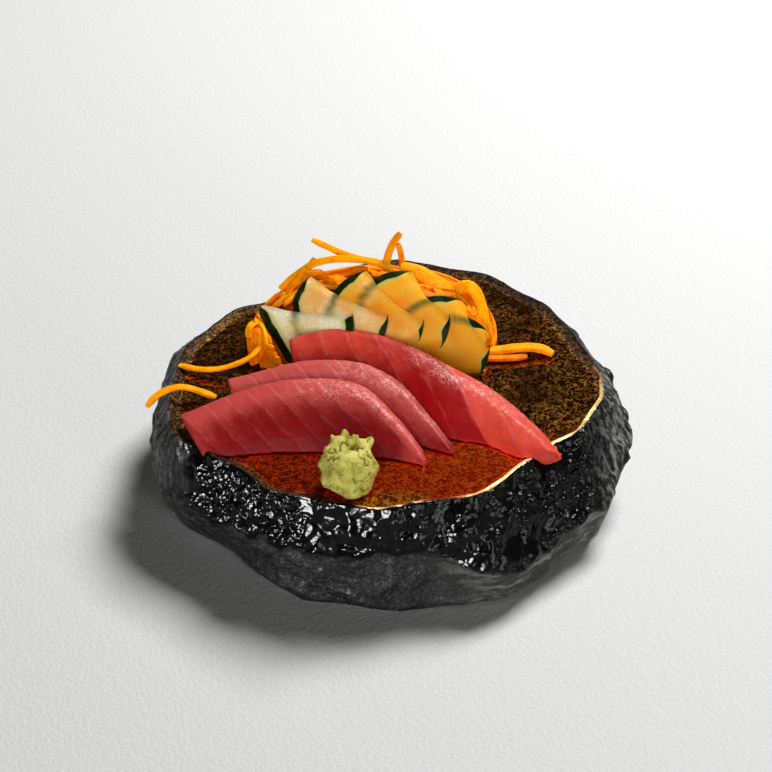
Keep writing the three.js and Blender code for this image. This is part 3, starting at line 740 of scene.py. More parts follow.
fleck = worms.between(0.46, 0.62) * clouds.between(0.25, 0.6, 0.35, 1.0)
brown = graph.mixed(fleck, colour(0.045, 0.014, 0.001), colour(0.60, 0.235, 0.034))
# The front's flecks in the colours of the painted reflection, dimmer on the left and brighter on the
# right.
dark_red = graph.mixed(bright_worms, colour(0.16, 0.007, 0.001), colour(0.75, 0.062, 0.004))
light_red = graph.mixed(bright_worms, colour(0.42, 0.014, 0.002), colour(1.0, 0.13, 0.008))
glaze_colour = graph.mixed(front_painted_reflection, brown, graph.mixed(to_the_right, dark_red, light_red))
# Painted reflection of the wasabi: a golden patch in the glaze in front of it.
painted_wasabi_reflection = (south + 10.0 * (clouds - 0.5)).between(64.0, 72.0) * clouds.between(0.3, 0.5)
painted_wasabi_reflection = painted_wasabi_reflection * (east + 12.0 * (clouds - 0.5)).between(-30.0, -10.0) * (1 - east.between(6.0, 30.0))
wasabi_reflection_colour = graph.mixed(bright_worms, colour(0.10, 0.03, 0.002), colour(0.80, 0.40, 0.03))
glaze_colour = graph.mixed(0.8 * painted_wasabi_reflection, glaze_colour, wasabi_reflection_colour)
print("with the colours of the glaze:", len(graph.tree.nodes), "nodes")

# %% Lip, gold line and the whole finish
GOLD_TOWARDS = (0.60, -0.80, 0.0)     # front and right

# The gold line is gold lustre on the lip, kept to the front and right, where the lamps glint in it, so it
# is partly a painted highlight. The same side keeps the glaze smooth nearer the rim.
flow_and_glint_side = (graph.along(place, GOLD_TOWARDS) / MM).between(28.0, 64.0)
gold_line = inset.between(0.5, 0.9) * (1 - inset.between(1.9, 2.4)) * clouds.between(0.36, 0.46) * flow_and_glint_side
gold = graph.mixed(worms.between(0.3, 0.7), colour(0.85, 0.50, 0.14), colour(1.0, 0.80, 0.45))
lip_colour = graph.mixed(fleck, colour(0.003, 0.001, 0.0002), colour(0.11, 0.046, 0.0075))
top = inset.between(0.9, 1.5)
wet_top = (inset + 3.0 * flow_and_glint_side).between(4.0, 6.0)
glaze_colour = graph.mixed(gold_line, glaze_colour, gold)
glaze_colour = graph.mixed((1 - wet_top) * (1 - gold_line), glaze_colour, lip_colour)
glaze_roughness = 0.50 - 0.38 * wet_top + 0.10 * fleck * (1 - front_painted_reflection)
metal = gold_line.most(top * (0.6 + 0.4 * wet_top)) * (0.92 - 0.14 * front_painted_reflection)
shade(graph, {
    "Base Color": graph.mixed(top.most(gold_line), stone_colour, glaze_colour),
    "Metallic": metal - 0.40 * gold_line,
    "Roughness": (1 - top) * stone_roughness + top * glaze_roughness + 0.15 * gold_line,
    "Specular IOR Level": 0.11,
    "Normal": bumped(graph, (1 - top) * stone_relief + 0.04 * worms * top, 1.0),
})
print("finish of the plate:", len(graph.tree.nodes), "nodes")

# %% [markdown]
# ## Chips and lumps in the stone
#
# Broken stone shows shell-shaped hollows that meet in sharp edges. Cell noise gives just that: its
# distance to the nearest point is squared, so that each cell is a shallow bowl, and neighbouring bowls
# meet in a crest. With a negative depth the same bowls are rounded lumps with creases between them.
#
# Broad chips lie all over the wall. The small lumps and the grit belong to the upper band, and are
# weaker where the stone is dry. The tree fades everything out towards the foot, so that the plate
# stands flat, and towards the glaze.

# %% Shape tree for the chips
CHIP_SIZES = {
    # in mm, and a negative depth makes lumps
    "Broad width": 11.0, "Broad depth": 2.8,
    "Small width": 4.4, "Small depth": -2.9,
    "Grit width": 2.1, "Grit depth": -1.1,
}
CHIP_SHIFTS = {"Broad": (0.0, 0.0, 0.0), "Small": (0.02, 0.0, 0.01), "Grit": (0.0, 0.03, 0.02)}   # m
BOWL_MIDDLE = 0.3             # depth of a bowl that neither sinks nor rises


def chips(graph, entry, place, kind):
    """Chips or lumps of one size: how far the skin moves out, in metres."""
    scale = 1.0 / (entry.also(kind + " width") * MM)
    bowl = graph.cells(graph.vectors("ADD", place, CHIP_SHIFTS[kind]), scale) ** 2.0
    return (bowl - BOWL_MIDDLE) * entry.also(kind + " depth") * MM


graph, entry = open_tree("chipped_stone", CHIP_SIZES)
still = graph.node("GeometryNodeInputPosition")
place = warped(graph, still, 220.0, 4.5)
height = graph.along(still, (0, 0, 1)) / MM
dry = dryness(graph, still)
rough = kept_in_shape(graph, "upper").between(0.1, 0.9, 0.3, 1.0) * (1 - 0.7 * dry)
lumpy = 0.2 + 0.9 * lumpiness(graph, still)
small_ones = chips(graph, entry, place, "Small") + chips(graph, entry, place, "Grit")
moved = chips(graph, entry, place, "Broad") + rough * lumpy * small_ones
dry_rim = height.between(GLAZE_HEIGHT - 5.0, GLAZE_HEIGHT - 1.0) * dry
fade = height.between(0.3, 5.0) * (1 - kept_in_shape(graph, "inset").between(0.6, 1.7))
chipped = moved_out(graph, entry, moved * fade * (1 - 0.7 * dry_rim))
close_tree(graph, chipped, plate_finish)

plate = grown(plate, graph, CHIP_SIZES)
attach(plate, "root")
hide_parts("rock_plate")
print("chipped plate:", triangles_of(plate), "triangles")

# %% [markdown]
# ## Slices of tuna
#
# Each slice is a thick slab cut across the loin. It shows the flakes of the muscle as broad slanting
# bands with fine pale lines between them, is paler and pinker along its upper edge, and sparkles where
# that edge runs down to the right, partly in painted highlights. The three solids already lean on one
# another, but their facets are hard and wide. A voxel remesh gives an even skin of small faces, and a
# few rounds of smoothing take the facets away while the slab keeps its size.
#
# The finish has to know how far up the slice a point lies, and how far along. Both are measured on the
# mesh here and kept with it.

# %% Slices from their solids
TUNA_VOXEL = 0.6              # mm
TUNA_SMOOTHING = 8            # rounds
TUNA_BINS = 60                # measuring steps along a slice
LEAST_SPAN = 3.0              # mm, for the slice's height and depth at its thin ends


def shares_of_slice(mesh):
    """For each point: its share of the way along the slice and of the way up to its upper edge."""
    place = from_plate(points_of(mesh))
    along = (place[:, 0] - place[:, 0].min()) / np.ptp(place[:, 0])
    bins = np.minimum((along * TUNA_BINS).astype(int), TUNA_BINS - 1)
    middles = (np.arange(TUNA_BINS) + 0.5) / TUNA_BINS

    def edge(axis, farthest):
        """How far the slice reaches along an axis, at each point's share of the way along it."""
        found = [farthest(place[bins == i, axis]) for i in range(TUNA_BINS)]
        return np.interp(along, middles, found)

    top, back, front = edge(2, np.max), edge(1, np.max), edge(1, np.min)
    rise = (place[:, 2] - GLAZE_HEIGHT) / np.maximum(top - GLAZE_HEIGHT, LEAST_SPAN)
    depth = (place[:, 1] - front) / np.maximum(back - front, LEAST_SPAN)
    return along, np.clip(0.5 * (rise + depth), 0, 1)


tuna_pieces = []
for number in (1, 2, 3):
    name = f"tuna_{number}"
    mesh = solid_copy(f"tuna_slice_{number}", name, TUNA_VOXEL, TUNA_SMOOTHING)
    along, up = shares_of_slice(mesh)
    store(mesh, "along", along)
    store(mesh, "up", up)
    tuna_pieces.append(new_piece(name, mesh))
    print(name, triangles_of(tuna_pieces[-1]), "triangles")

# %% [markdown]
# ## Finish of the tuna
#
# Muscle bands are planes through the loin, so on the cut face they are straight slanting lines. The
# place of a point measured square to those planes, divided by the width of a band, gives a number
# that rises by one from band to band. Its fraction shades each band from its pale line to its deep
# side. A little light goes into the flesh and comes out again, which subsurface scattering gives.
#
# The three slices differ in where they are pale, so that part is a function of its own. Part of that
# paleness is painted light and shade: a lit corner and a lit right end on the first slice, and on the
# third a facet turned to the light beside a shaded hollow. The sparkle is gloss in fine grains, as on
# flesh that has just been cut, with a painted highlight of pale colour in the same grains.

# %% Finish of the tuna
MUSCLE_LINES = {
    # slope, width of a band in mm, a place on one line in mm from the plate's middle
    1: (0.87, 7.0, (-23.8, -24.1, 55.3)),
    2: (0.77, 7.9, (-29.6, -14.2, 53.9)),
    3: (0.45, 8.7, (29.3, -31.0, 45.8)),
}
TUNA_COLOURS = {
    # deep, pale, and one pale colour for the muscle lines and the painted glints
    1: (colour(0.157, 0.001, 0.002), colour(0.415, 0.048, 0.042), colour(0.64, 0.29, 0.27)),
    2: (colour(0.157, 0.002, 0.003), colour(0.44, 0.066, 0.056), colour(0.64, 0.30, 0.28)),
    3: (colour(0.235, 0.001, 0.002), colour(0.50, 0.050, 0.029), colour(0.67, 0.28, 0.24)),
}
FACE_UP = Vector((0.0, 0.79, 0.61))      # up the showing face of a slice
FACE_OUT = Vector((0.0, -0.61, 0.79))    # out of it


def across_lines(number):
    """The direction square to a slice's muscle lines, and how far along it one line lies, in mm."""
    slope, _, place = MUSCLE_LINES[number]
    direction = (Vector((1, 0, 0)) + slope * FACE_UP).normalized()
    return direction, direction.dot(metres(place)) / MM


def muscle_band(graph, place, direction, start, width):
    """A number that rises by one from muscle band to muscle band, with a slight waver."""
    waver = graph.noise(place, 55.0, 1.0) - 0.5
    return (graph.along(place, direction) / MM - start + 4.0 * waver) / width


def paleness(number, band, along, up):
    """From 0, deep flesh, to 1, pale flesh: pale along the upper edge, and where the slice ends. Parts of
    the first and third slices are painted lighter and darker, as light and shade.
    """
    if number == 1:
        # Paler at the left end, and painted paler at the right end, as light falling on it.
        ends = along.between(0.0, 0.3, 0.30, -0.08) + along.between(0.86, 0.96, 0.0, 0.6)
        # Painted light: a pale sheen lifts the lower left corner out of its shade.
        corner = (1 - along.between(0.02, 0.14)) * (1 - up.between(0.2, 0.6))
        return up.between(0.40, 0.95, 0.0, 1.05) + ends + 0.45 * corner
    if number == 2:
        return up.between(0.25, 0.75, 0.0, 0.5) + (1 - along.between(0.25, 0.9)) * 0.45
    # The third slice is painted pale salmon beyond one muscle line, as light on a facet turned to the
    # lamp,
    #     # and painted deepest just before it, as shade in the hollow beside that facet.
    painted_lit_facet = band.between(-0.12, 0.05)
    before = band.between(-3.2, -0.4) * (1 - painted_lit_facet)
    return 0.05 + up.between(0.35, 0.85, 0.0, 0.55) - 0.5 * before + 0.55 * painted_lit_facet


def tuna_finish(number):
    """The finish of one slice."""
    direction, start = across_lines(number)
    material, graph = new_finish(f"tuna_finish_{number}")
    place = place_on_piece(graph)
    up, along = kept_number(graph, "up"), kept_number(graph, "along")
    band = muscle_band(graph, place, tuple(direction), start, MUSCLE_LINES[number][1])
    across_band = band.fraction()
    line = (1 - across_band.between(0.0, 0.12)).most(across_band.between(0.92, 1.0))
    # Fibres run along the muscle lines, so their noise is stretched that way.
    along_lines = direction.cross(FACE_OUT).normalized()
    squeezed = graph.joined(X=graph.along(place, tuple(direction)),
                            Y=0.25 * graph.along(place, tuple(along_lines)))
    streaks = graph.noise(squeezed, 500.0, 3.0, 0.6)
    broken = graph.noise(place, 260.0, 3.0)
    fibres = graph.noise(place, 900.0, 3.0, 0.6)
    pale = paleness(number, band, along, up) + 0.28 * (1 - across_band)
    for noise in (broken, streaks, fibres):
        pale = pale + (noise - 0.5) * 0.35
    # Wet gloss in fine grains near the upper edge: lower roughness, and a painted highlight of pale
    # colour.
    wet_gloss_and_painted_glint = up.between(0.60, 0.84) * along.between(0.36, 0.6) * (1 - 0.4 * along.between(0.9, 1.0))
    grains = graph.noise(place, 1500.0, 2.0, 0.6).between(0.44, 0.60)
    wet_gloss_and_painted_glint = wet_gloss_and_painted_glint * grains * graph.noise(place, 300.0).between(0.35, 0.6)
    deep_colour, pale_colour, line_and_glint_colour = TUNA_COLOURS[number]
    seen_line = line * broken.between(0.36, 0.60) * up.between(0.3, 0.9, 0.03, 0.13)
    flesh = graph.mixed(pale.between(0.0, 1.1), deep_colour, pale_colour)
    flesh = graph.mixed(seen_line, flesh, line_and_glint_colour)
    shade(graph, {
        "Base Color": graph.mixed(0.65 * wet_gloss_and_painted_glint, flesh, line_and_glint_colour),
        "Roughness": 0.45 - 0.25 * wet_gloss_and_painted_glint + 0.2 * (broken - 0.5),
        "Subsurface Weight": 0.2,
        "Subsurface Radius": (0.003, 0.0006, 0.0005),
        "Subsurface Scale": 1.0,
        "Specular IOR Level": 0.12,
        "Normal": bumped(graph, fibres + 0.8 * streaks + 0.6 * broken - 0.3 * line, 0.25, 0.5),
    })
    return material


print("muscle lines of", len(MUSCLE_LINES), "slices")

# %% [markdown]
# ## Grain of the flesh
#
# The muscle lines are also a slight groove, and the flesh between them swells a little. That is a
# shape, so it goes into the mesh: the tree below sinks the lines and moves the flesh in and out by a
# few tenths of a millimetre, with the same bands as the finish.

# %% Shape tree for the flesh
GRAIN_SIZES = {
    # the direction square to the lines, then mm
    "Across": (1.0, 0.0, 0.0), "Start": 0.0, "Band width": 8.0, "Groove": 0.15, "Ripple": 0.28,
}


def grain_tree(finish):
    """The shape tree for one slice, which ends in its finish."""
    graph, entry = open_tree("muscle_grain", GRAIN_SIZES)
    place = graph.node("GeometryNodeInputPosition")
    across, start, width = [entry.also(name) for name in ("Across", "Start", "Band width")]
    from_line = abs(muscle_band(graph, place, across, start, width).fraction() - 0.5) * 2.0
    groove = from_line.between(0.80, 1.0) * entry.also("Groove")
    ripple = (graph.noise(place, 130.0) - 0.5) * entry.also("Ripple") * 2.0
    close_tree(graph, moved_out(graph, entry, (ripple - groove) * MM), finish)
    return graph


for number, piece in enumerate(tuna_pieces, start=1):
    direction, start = across_lines(number)
    sizes = {"Across": tuple(direction), "Start": start, "Band width": MUSCLE_LINES[number][1]}
    slice_piece = grown(piece, grain_tree(tuna_finish(number)), sizes)
    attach(slice_piece, "root")
    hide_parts(f"tuna_slice_{number}")
    print(slice_piece.name, sides_of(slice_piece), "mm")

# %% [markdown]
# ## Fan of cucumber
#
# The cucumber was peeled in stripes, cut across into thin slices and fanned out, so each slice is a
# round with two flats. Most flats are where a stripe of peel came off, but two of them kept their rind.
# The slices lie like shingles on a plane that leans back against the carrot. That is a rule, so one
# shape tree makes all six from one flat disc: it cuts the flats, moves the disc to its place in the
# fan and bends it over the dome. Only the numbers change from slice to slice.

# %% Numbers of the fan
FAN_ORIGIN = (0.0, 9.0, GLAZE_HEIGHT + 19.0)   # mm
FAN_LEAN = math.radians(60.0)
FAN_DOME = (85.0, 70.0)       # mm, radii of the dome across and up the slope
FAN_PITCH = 10.5              # mm across, from one slice to the next
FAN_FIRST = -28.5             # mm across, where the middle of the first slice lies
FAN_RISE = 2.0                # mm, how far each slice lies over the next
SLICE_THICKNESS = 1.45        # mm
CUCUMBERS = [
    # middle (across, up) and radius in mm, two flats, and how much carrot orange is painted through
    # a flat is (direction in degrees, mm from the middle, 1 if it kept its rind)
    ((-28.5, -3.0), 17.2, [(86, 5.6, 0), (211, 12.4, 1)], -0.15),
    ((-16.5, 0.5), 17.0, [(65, 8.0, 0), (190, 15.4, 1)], 0.52),
    ((-4.0, -0.5), 17.0, [(50, 10.9, 0), (300, 14.0, 0)], 0.78),
    ((5.4, -0.5), 16.8, [(42, 13.6, 0), (290, 14.0, 0)], 0.98),
    ((18.8, -10.0), 17.6, [(32, 14.9, 0), (270, 10.8, 0)], 1.15),
    ((23.0, -15.5), 16.4, [(2, 13.2, 0), (270, 5.4, 0)], 1.3),
]
fan_up = Vector((0, math.cos(FAN_LEAN), math.sin(FAN_LEAN)))
fan_out = Vector((0, -math.sin(FAN_LEAN), math.cos(FAN_LEAN)))
print("fan leans", round(math.degrees(FAN_LEAN)), "degrees from the table")

# %% A flat disc to start from
DISC_AROUND = 144             # points in each ring
DISC_SHARES = [0.12, 0.26, 0.40, 0.54, 0.66, 0.76, 0.84, 0.90, 0.94, 0.97, 0.99]
DISC_EDGE = [(1.0, 0.8), (1.012, 0.5), (1.012, -0.5), (1.0, -0.8)]   # (share of the radius, side)


def disc_mesh():
    """A disc of radius 1 between -1 and 1, with closely set rings under the rind."""
    profile = [(share, 1.0) for share in DISC_SHARES] + DISC_EDGE
    profile += [(share, -1.0) for share in reversed(DISC_SHARES)]
    points = [(0, 0, 1)]
    for share, side in profile:
        for i in range(DISC_AROUND):
            turn = 2 * math.pi * i / DISC_AROUND
            points.append((share * math.cos(turn), share * math.sin(turn), side))
    points.append((0, 0, -1))
    faces = []
    for i in range(DISC_AROUND):
        after = (i + 1) % DISC_AROUND
        faces.append((0, 1 + i, 1 + after))
        for ring in range(len(profile) - 1):
            a, b = 1 + ring * DISC_AROUND + i, 1 + ring * DISC_AROUND + after
            faces.append((a, a + DISC_AROUND, b + DISC_AROUND, b))
        last = 1 + (len(profile) - 1) * DISC_AROUND
        faces.append((last + i, len(points) - 1, last + after))
    return mesh_from("disc", points, faces)


print("disc:", len(disc_mesh().polygons), "faces")

# %% [markdown]
# ## Finish of the cucumber
#
# The flesh is thin enough to see through: the carrot behind tints it orange, and the rind of the slice
# below shows as a shadow. Two ways of giving that work together. An alpha below one lets real things
# show where the slice is thinnest, along its cut edges and where it lies over the next slice. The
# broad tint and the soft arc of the rind below are painted, because they are blurred by the flesh.
#
# The shape tree keeps the numbers that this needs: how far inside the rind a point lies ("inside"),
# how far from the middle ("from_middle") and from a cut edge ("from_cut"), whether the next slice is
# under it ("over_next"), where that one's rind is, for its painted shade ("beneath"), and how much of
# the carrot's orange is painted through the flesh ("warmth").

# %% Finish of the cucumber
RIND_WIDTH = 2.1              # mm
CUT_SHOWS = (2.0, 4.0)        # mm from a cut edge over which it is clear, alone and over the next slice

cucumber_finish, graph = new_finish("cucumber_finish")
place = place_on_piece(graph)
inside = kept_number(graph, "inside")
cut = kept_number(graph, "from_cut")
wander = graph.noise(place, 260.0, 3.0)
clouds = graph.noise(place, 90.0, 3.0)
speckle = graph.noise(place, 1300.0, 2.0, 0.6).between(0.4, 0.62)
rind = 1 - (inside + 0.9 * (wander - 0.5)).between(RIND_WIDTH - 0.3, RIND_WIDTH + 0.2)
under_rind = 1 - (inside + 0.8 * (wander - 0.5)).between(RIND_WIDTH + 0.2, RIND_WIDTH + 1.8)
core = (1 - kept_number(graph, "from_middle").between(0.4, 0.75)) * clouds.between(0.35, 0.6)
cool = graph.mixed(core, colour(0.98, 0.96, 0.66), colour(0.97, 0.82, 0.42))
# Painted tint of the carrot seen through the flesh: this orange is mixed in where the tint is high.
warm = graph.mixed(core, colour(0.92, 0.40, 0.014), colour(0.92, 0.25, 0.001))
warmth = (kept_number(graph, "warmth") + 1.1 * (clouds - 0.5)).between(-0.1, 0.9)
shadow = kept_number(graph, "beneath") * (0.85 + 0.5 * (wander - 0.5))
flesh = graph.mixed(warmth, cool, warm)
flesh = graph.mixed(0.3 * speckle, flesh, colour(0.55, 0.36, 0.05))
flesh = graph.mixed(0.8 * under_rind * (1 - rind), flesh, colour(0.50, 0.56, 0.12))
flesh = graph.mixed(shadow, flesh, colour(0.10, 0.12, 0.02))
skin = graph.mixed(wander.between(0.4, 0.7), colour(0.003, 0.008, 0.001), colour(0.013, 0.030, 0.004))
cover = cut.between(0.0, CUT_SHOWS[0], 0.5, 0.92)
cover = cover * (1 - kept_number(graph, "over_next") * cut.between(0.0, CUT_SHOWS[1], 0.95, 0.15))
shade(graph, {
    "Base Color": graph.mixed(rind, flesh, skin),
    "Roughness": 0.28 + 0.2 * wander,
    "Alpha": cover.most(rind),
    "Specular IOR Level": 0.06,
    "Subsurface Weight": 0.3,
    "Subsurface Radius": (0.004, 0.003, 0.001),
    "Subsurface Scale": 1.0,
    "Normal": bumped(graph, wander, 0.25, 0.5),
})
print("finish of the cucumber:", len(graph.tree.nodes), "nodes")

# %% [markdown]
# ## Shape of a slice
#
# For each point of the disc, the tree asks how far the slice reaches that way: to the round, or to a
# flat if that is nearer. A flat that was peeled is cut a little hollow. The point then goes to that
# place on the plane of the fan, is lifted onto the dome and over the slice below, and gets its
# thickness, which runs out thin along the cut edges. The tree keeps the numbers for the finish last.

# %% Flats of a slice
SLICE_SIZES = {
    # lengths in mm and angles in radians; the flats as in the table of slices
    "Middle": (0.0, 0.0, 0.0), "Radius": 17.0, "Start": 0.0, "Thickness": SLICE_THICKNESS,
    "Flat 1": (0.0, 20.0, 0.0), "Flat 2": (0.0, 20.0, 0.0),
    "Warmth": 0.5, "Rind": 1.0, "Taper": 0.35,
    "Middle below": (0.0, 0.0, 0.0), "Radius below": 0.0, "Arc end": 0.0,
}
FIRST_SLICE = {
    # it shows the outside of its rind too, so its dark band is wider, and wide close to its flats
    "Rind": 1.4, "Taper": 0.08,
}
ARC_ENDS = [0.0, 0.0, 0.0, 3.0, 16.0]    # mm right of the middle of the slice below, where its arc ends
FLAT_HOLLOW = 0.18            # share of a flat's distance
PAST_ANY_RIND = 100.0         # mm, for a flat that has no rind


def flat_side(graph, turn, flat, radius, taper, from_middle):
    """For one flat: how far the slice reaches at each turn, how far inside the cut a point lies, how
    far inside the rind there, and the rind's share of its full width."""
    direction = graph.split(flat)
    distance, skinned = direction.also("Y"), direction.also("Z")
    facing = (turn - direction).cosine()
    corner = distance / radius
    hollow = 1 - FLAT_HOLLOW * (facing - corner).between(0.0, 0.25) * (1 - skinned)
    reach = (distance * hollow / facing.most(0.02)).least(radius * 1.02)
    past_corner = facing.arccosine() - corner.arccosine()
    width = past_corner.between(0.0, taper).most(skinned)
    from_cut = distance - from_middle * facing
    return reach, from_cut, from_cut + (1 - skinned) * PAST_ANY_RIND, width


print("a slice has", len(SLICE_SIZES), "sizes")

# %% Outline, place and thickness of a slice
graph, entry = open_tree("cucumber_slice", SLICE_SIZES)
place = graph.node("GeometryNodeInputPosition")
x = graph.split(place)
y, side = x.also("Y"), x.also("Z")
share = (x * x + y * y) ** 0.5
turn = y.arctangent(x)
radius, taper = entry.also("Radius"), entry.also("Taper")
flats = [entry.also("Flat 1"), entry.also("Flat 2")]
reach_1, reach_2 = [flat_side(graph, turn, flat, radius, taper, share)[0] for flat in flats]
from_middle = share * reach_1.least(reach_2).least(radius)
(_, cut_1, inside_1, width_1), (_, cut_2, inside_2, width_2) = [
    flat_side(graph, turn, flat, radius, taper, from_middle) for flat in flats
]
from_cut = cut_1.least(cut_2)
inside = (radius - from_middle).least(inside_1).least(inside_2) / width_1.least(width_2).most(0.02)
middle = graph.split(entry.also("Middle"))
across = middle + from_middle * turn.cosine()
up = middle.also("Y") + from_middle * turn.sine()
dome = -1.0 * (across * across / (2 * FAN_DOME[0]) + up * up / (2 * FAN_DOME[1]))
ripple = (graph.noise(place, 2.2) - 0.5) * 0.5
lift = dome + (across - entry.also("Start")) * (FAN_RISE / FAN_PITCH)
thickness = entry.also("Thickness") * from_cut.between(-0.5, 4.0, 0.25, 1.0)
lift = lift + (0.5 + 0.5 * side) * thickness + ripple
origin = metres(FAN_ORIGIN)
target_y = up * (fan_up.y * MM) + lift * (fan_out.y * MM) + origin.y
target_z = up * (fan_up.z * MM) + lift * (fan_out.z * MM) + origin.z
target = graph.joined(X=across * MM + origin.x, Y=target_y, Z=target_z.most((GLAZE_HEIGHT + AIR) * MM))
print("shape of a slice:", len(graph.tree.nodes), "nodes")

# %% Rind of the slice below, and the kept numbers
# The rind of the slice below is painted through as a soft dark arc of shade, which fades downwards as
# # the gap widens.
below = graph.split(entry.also("Middle below"))
aside, above = across - below, up - below.also("Y")
in_below = entry.also("Radius below") - (aside * aside + above * above) ** 0.5
beneath = in_below.between(-0.8, 0.6) * (1 - in_below.between(1.2, 3.6)) * above.between(-15.0, 4.0)
beneath = beneath * (1 - (aside - entry.also("Arc end")).between(-3.0, 2.0))
kept = entry
numbers = {
    "inside": inside / entry.also("Rind"), "from_middle": share, "warmth": entry.also("Warmth"),
    "from_cut": from_cut, "beneath": beneath, "over_next": in_below.between(0.0, 2.5),
}
for name, value in numbers.items():
    kept = keeping(graph, kept, name, value)
placed = graph.node("GeometryNodeSetPosition", None, {"Geometry": kept, "Position": target})
close_tree(graph, placed, cucumber_finish)
print("a slice keeps:", list(numbers))

# %% Six slices
cucumber_pieces = []
for order, (middle, radius, flats, warmth) in enumerate(CUCUMBERS):
    start = FAN_FIRST + FAN_PITCH * order - radius
    sizes = {"Middle": (*middle, 0.0), "Radius": radius, "Start": start, "Warmth": warmth}
    if order == 0:
        sizes.update(FIRST_SLICE)
    if order + 1 < len(CUCUMBERS):
        middle_below, radius_below = CUCUMBERS[order + 1][:2]
        sizes["Middle below"] = (*middle_below, 0.0)
        sizes["Radius below"] = radius_below
        sizes["Arc end"] = ARC_ENDS[order]
    for which, (direction, distance, skinned) in enumerate(flats, start=1):
        sizes[f"Flat {which}"] = (math.radians(direction), distance, float(skinned))
    disc = new_piece(f"cucumber_{order + 1}", disc_mesh())
    slice_piece = grown(disc, graph, sizes)
    cucumber_pieces.append(slice_piece)
    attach(slice_piece, "root")
    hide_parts(f"cucumber_slice_{order + 1}")
    print(slice_piece.name, triangles_of(slice_piece), "triangles")

# %% [markdown]
# ## Form of the carrot heap
#
# The carrot is cut into long flat shreds and piled up as a dome behind the cucumber, which leans on
# it. Modelled shred by shred right through, the heap would hide most of its faces. So a smaller core
# fills the inside, and shreds lie over it. Both follow one formula for the dome, a rounded box that
# reaches further to the left, and both keep out of the way of the slices: nothing of the heap is
# inside a slice or in front of one.

# %% The dome and its room
HEAP_MIDDLE = Vector((-1.0, 19.0, GLAZE_HEIGHT))   # mm
HEAP_REACH = (38.5, 24.0, 27.0)                    # mm, to the right, back and up
HEAP_REACH_LEFT = 46.0                             # mm
HEAP_SQUARENESS = 2.2                              # 2 is an ellipsoid, more is boxier
NEAREST = 1.3                 # mm from a slice to the middle of a shred
ROOM_IN_FRONT = 30.0          # mm in front of a slice that stay free


def pointing(azimuth, elevation):
    """The direction of two angles in radians."""
    level = math.cos(elevation)
    return Vector((math.cos(azimuth) * level, math.sin(azimuth) * level, math.sin(elevation)))


def heap_point(azimuth, elevation, lift=0.0):
    """A place on the dome, or above it, for two angles in radians and a lift in millimetres."""
    out = pointing(azimuth, elevation)
    size = sum(abs(v) ** HEAP_SQUARENESS for v in out) ** (1 / HEAP_SQUARENESS)
    place = Vector([v * reach / size for v, reach in zip(out, HEAP_REACH)])
    if place.x < 0:
        place.x *= HEAP_REACH_LEFT / HEAP_REACH[0]
    return HEAP_MIDDLE + place + lift * out


slice_rays = rays_on([solids[name] for name in solids if name.startswith("tuna")] + cucumber_pieces)


def in_the_way(place, margin):
    """True for a place in, at or in front of a slice of tuna or cucumber, or that close beside it."""
    if slice_rays.find_nearest(metres(place), NEAREST * MM)[0] is not None:
        return True
    for aside in (-margin, 0.0, margin):
        start = metres(place + Vector((aside, 0, 0)))
        if slice_rays.ray_cast(start, -fan_out, ROOM_IN_FRONT * MM)[0] is not None:
            return True
    return False


print("top of the dome mm:", [round(v, 1) for v in heap_point(0, math.pi / 2)])

# %% [markdown]
# ## Core of the heap
#
# The core is the dome itself, two millimetres smaller. Where the dome would stand in the slices' room,
# its points are drawn back towards the heart of the heap until they are out of it, so the core's front
# follows the back of the fan. A few rounds of smoothing then take out the jumps that this leaves.

# %% Core of the heap
CORE_AROUND = 120             # points in each ring
CORE_LEVELS = 30              # rings from the glaze to the top
CORE_INSET = 2.2              # mm
CORE_HEART = Vector((-4.0, 24.0, GLAZE_HEIGHT + 4.0))   # mm
CORE_MARGIN = 3.5             # mm beside a point that stay clear of the slices
CORE_STEPS = 60               # places that are tried between the dome and the heart
CORE_SOFTENING = 3            # rounds


def core_point(azimuth, elevation):
    """The place on the way in from the dome where the slices' room ends."""
    target = heap_point(azimuth, elevation, -CORE_INSET)
    for step in range(CORE_STEPS, 0, -1):
        place = CORE_HEART.lerp(target, step / CORE_STEPS)
        if not in_the_way(place, CORE_MARGIN):
            break
    place.z = max(place.z, GLAZE_HEIGHT + AIR)
    return place


core_rings = []
for level in range(CORE_LEVELS):
    climb = 0.5 * math.pi * level / CORE_LEVELS
    core_rings.append([core_point(2 * math.pi * i / CORE_AROUND, climb) for i in range(CORE_AROUND)])
core_rings = np.array(core_rings)
for _ in range(CORE_SOFTENING):
    beside = np.roll(core_rings, 1, axis=1) + np.roll(core_rings, -1, axis=1)
    core_rings = 0.5 * core_rings + 0.25 * beside
    core_rings[1:-1] = 0.5 * core_rings[1:-1] + 0.25 * (core_rings[:-2] + core_rings[2:])
core_foot = (CORE_HEART.x, CORE_HEART.y, GLAZE_HEIGHT + AIR)
core_top = core_point(0, 0.5 * math.pi)
core = new_piece("carrot_core", skin_of_rings("carrot_core", core_rings, core_foot, core_top))
print("core of the heap:", triangles_of(core), "triangles", sides_of(core), "mm")

# %% [markdown]
# ## Routes of the shreds
#
# A shred follows a route: a smooth curve through a few points. The ones that catch the eye have routes
# that are listed one by one: two that stray over the glaze on each side, and those that stand off the
# heap or hang down beside the fan. The others wind over the dome at random angles, from a fixed seed.
# Each route is kept only as far as it stays out of the slices' room.
#
# Every point of a route also keeps the way its flat side faces, and the tone and breadth of its shred.
# The listed ones on the heap turn their flat side a little to the front, so that they catch light.

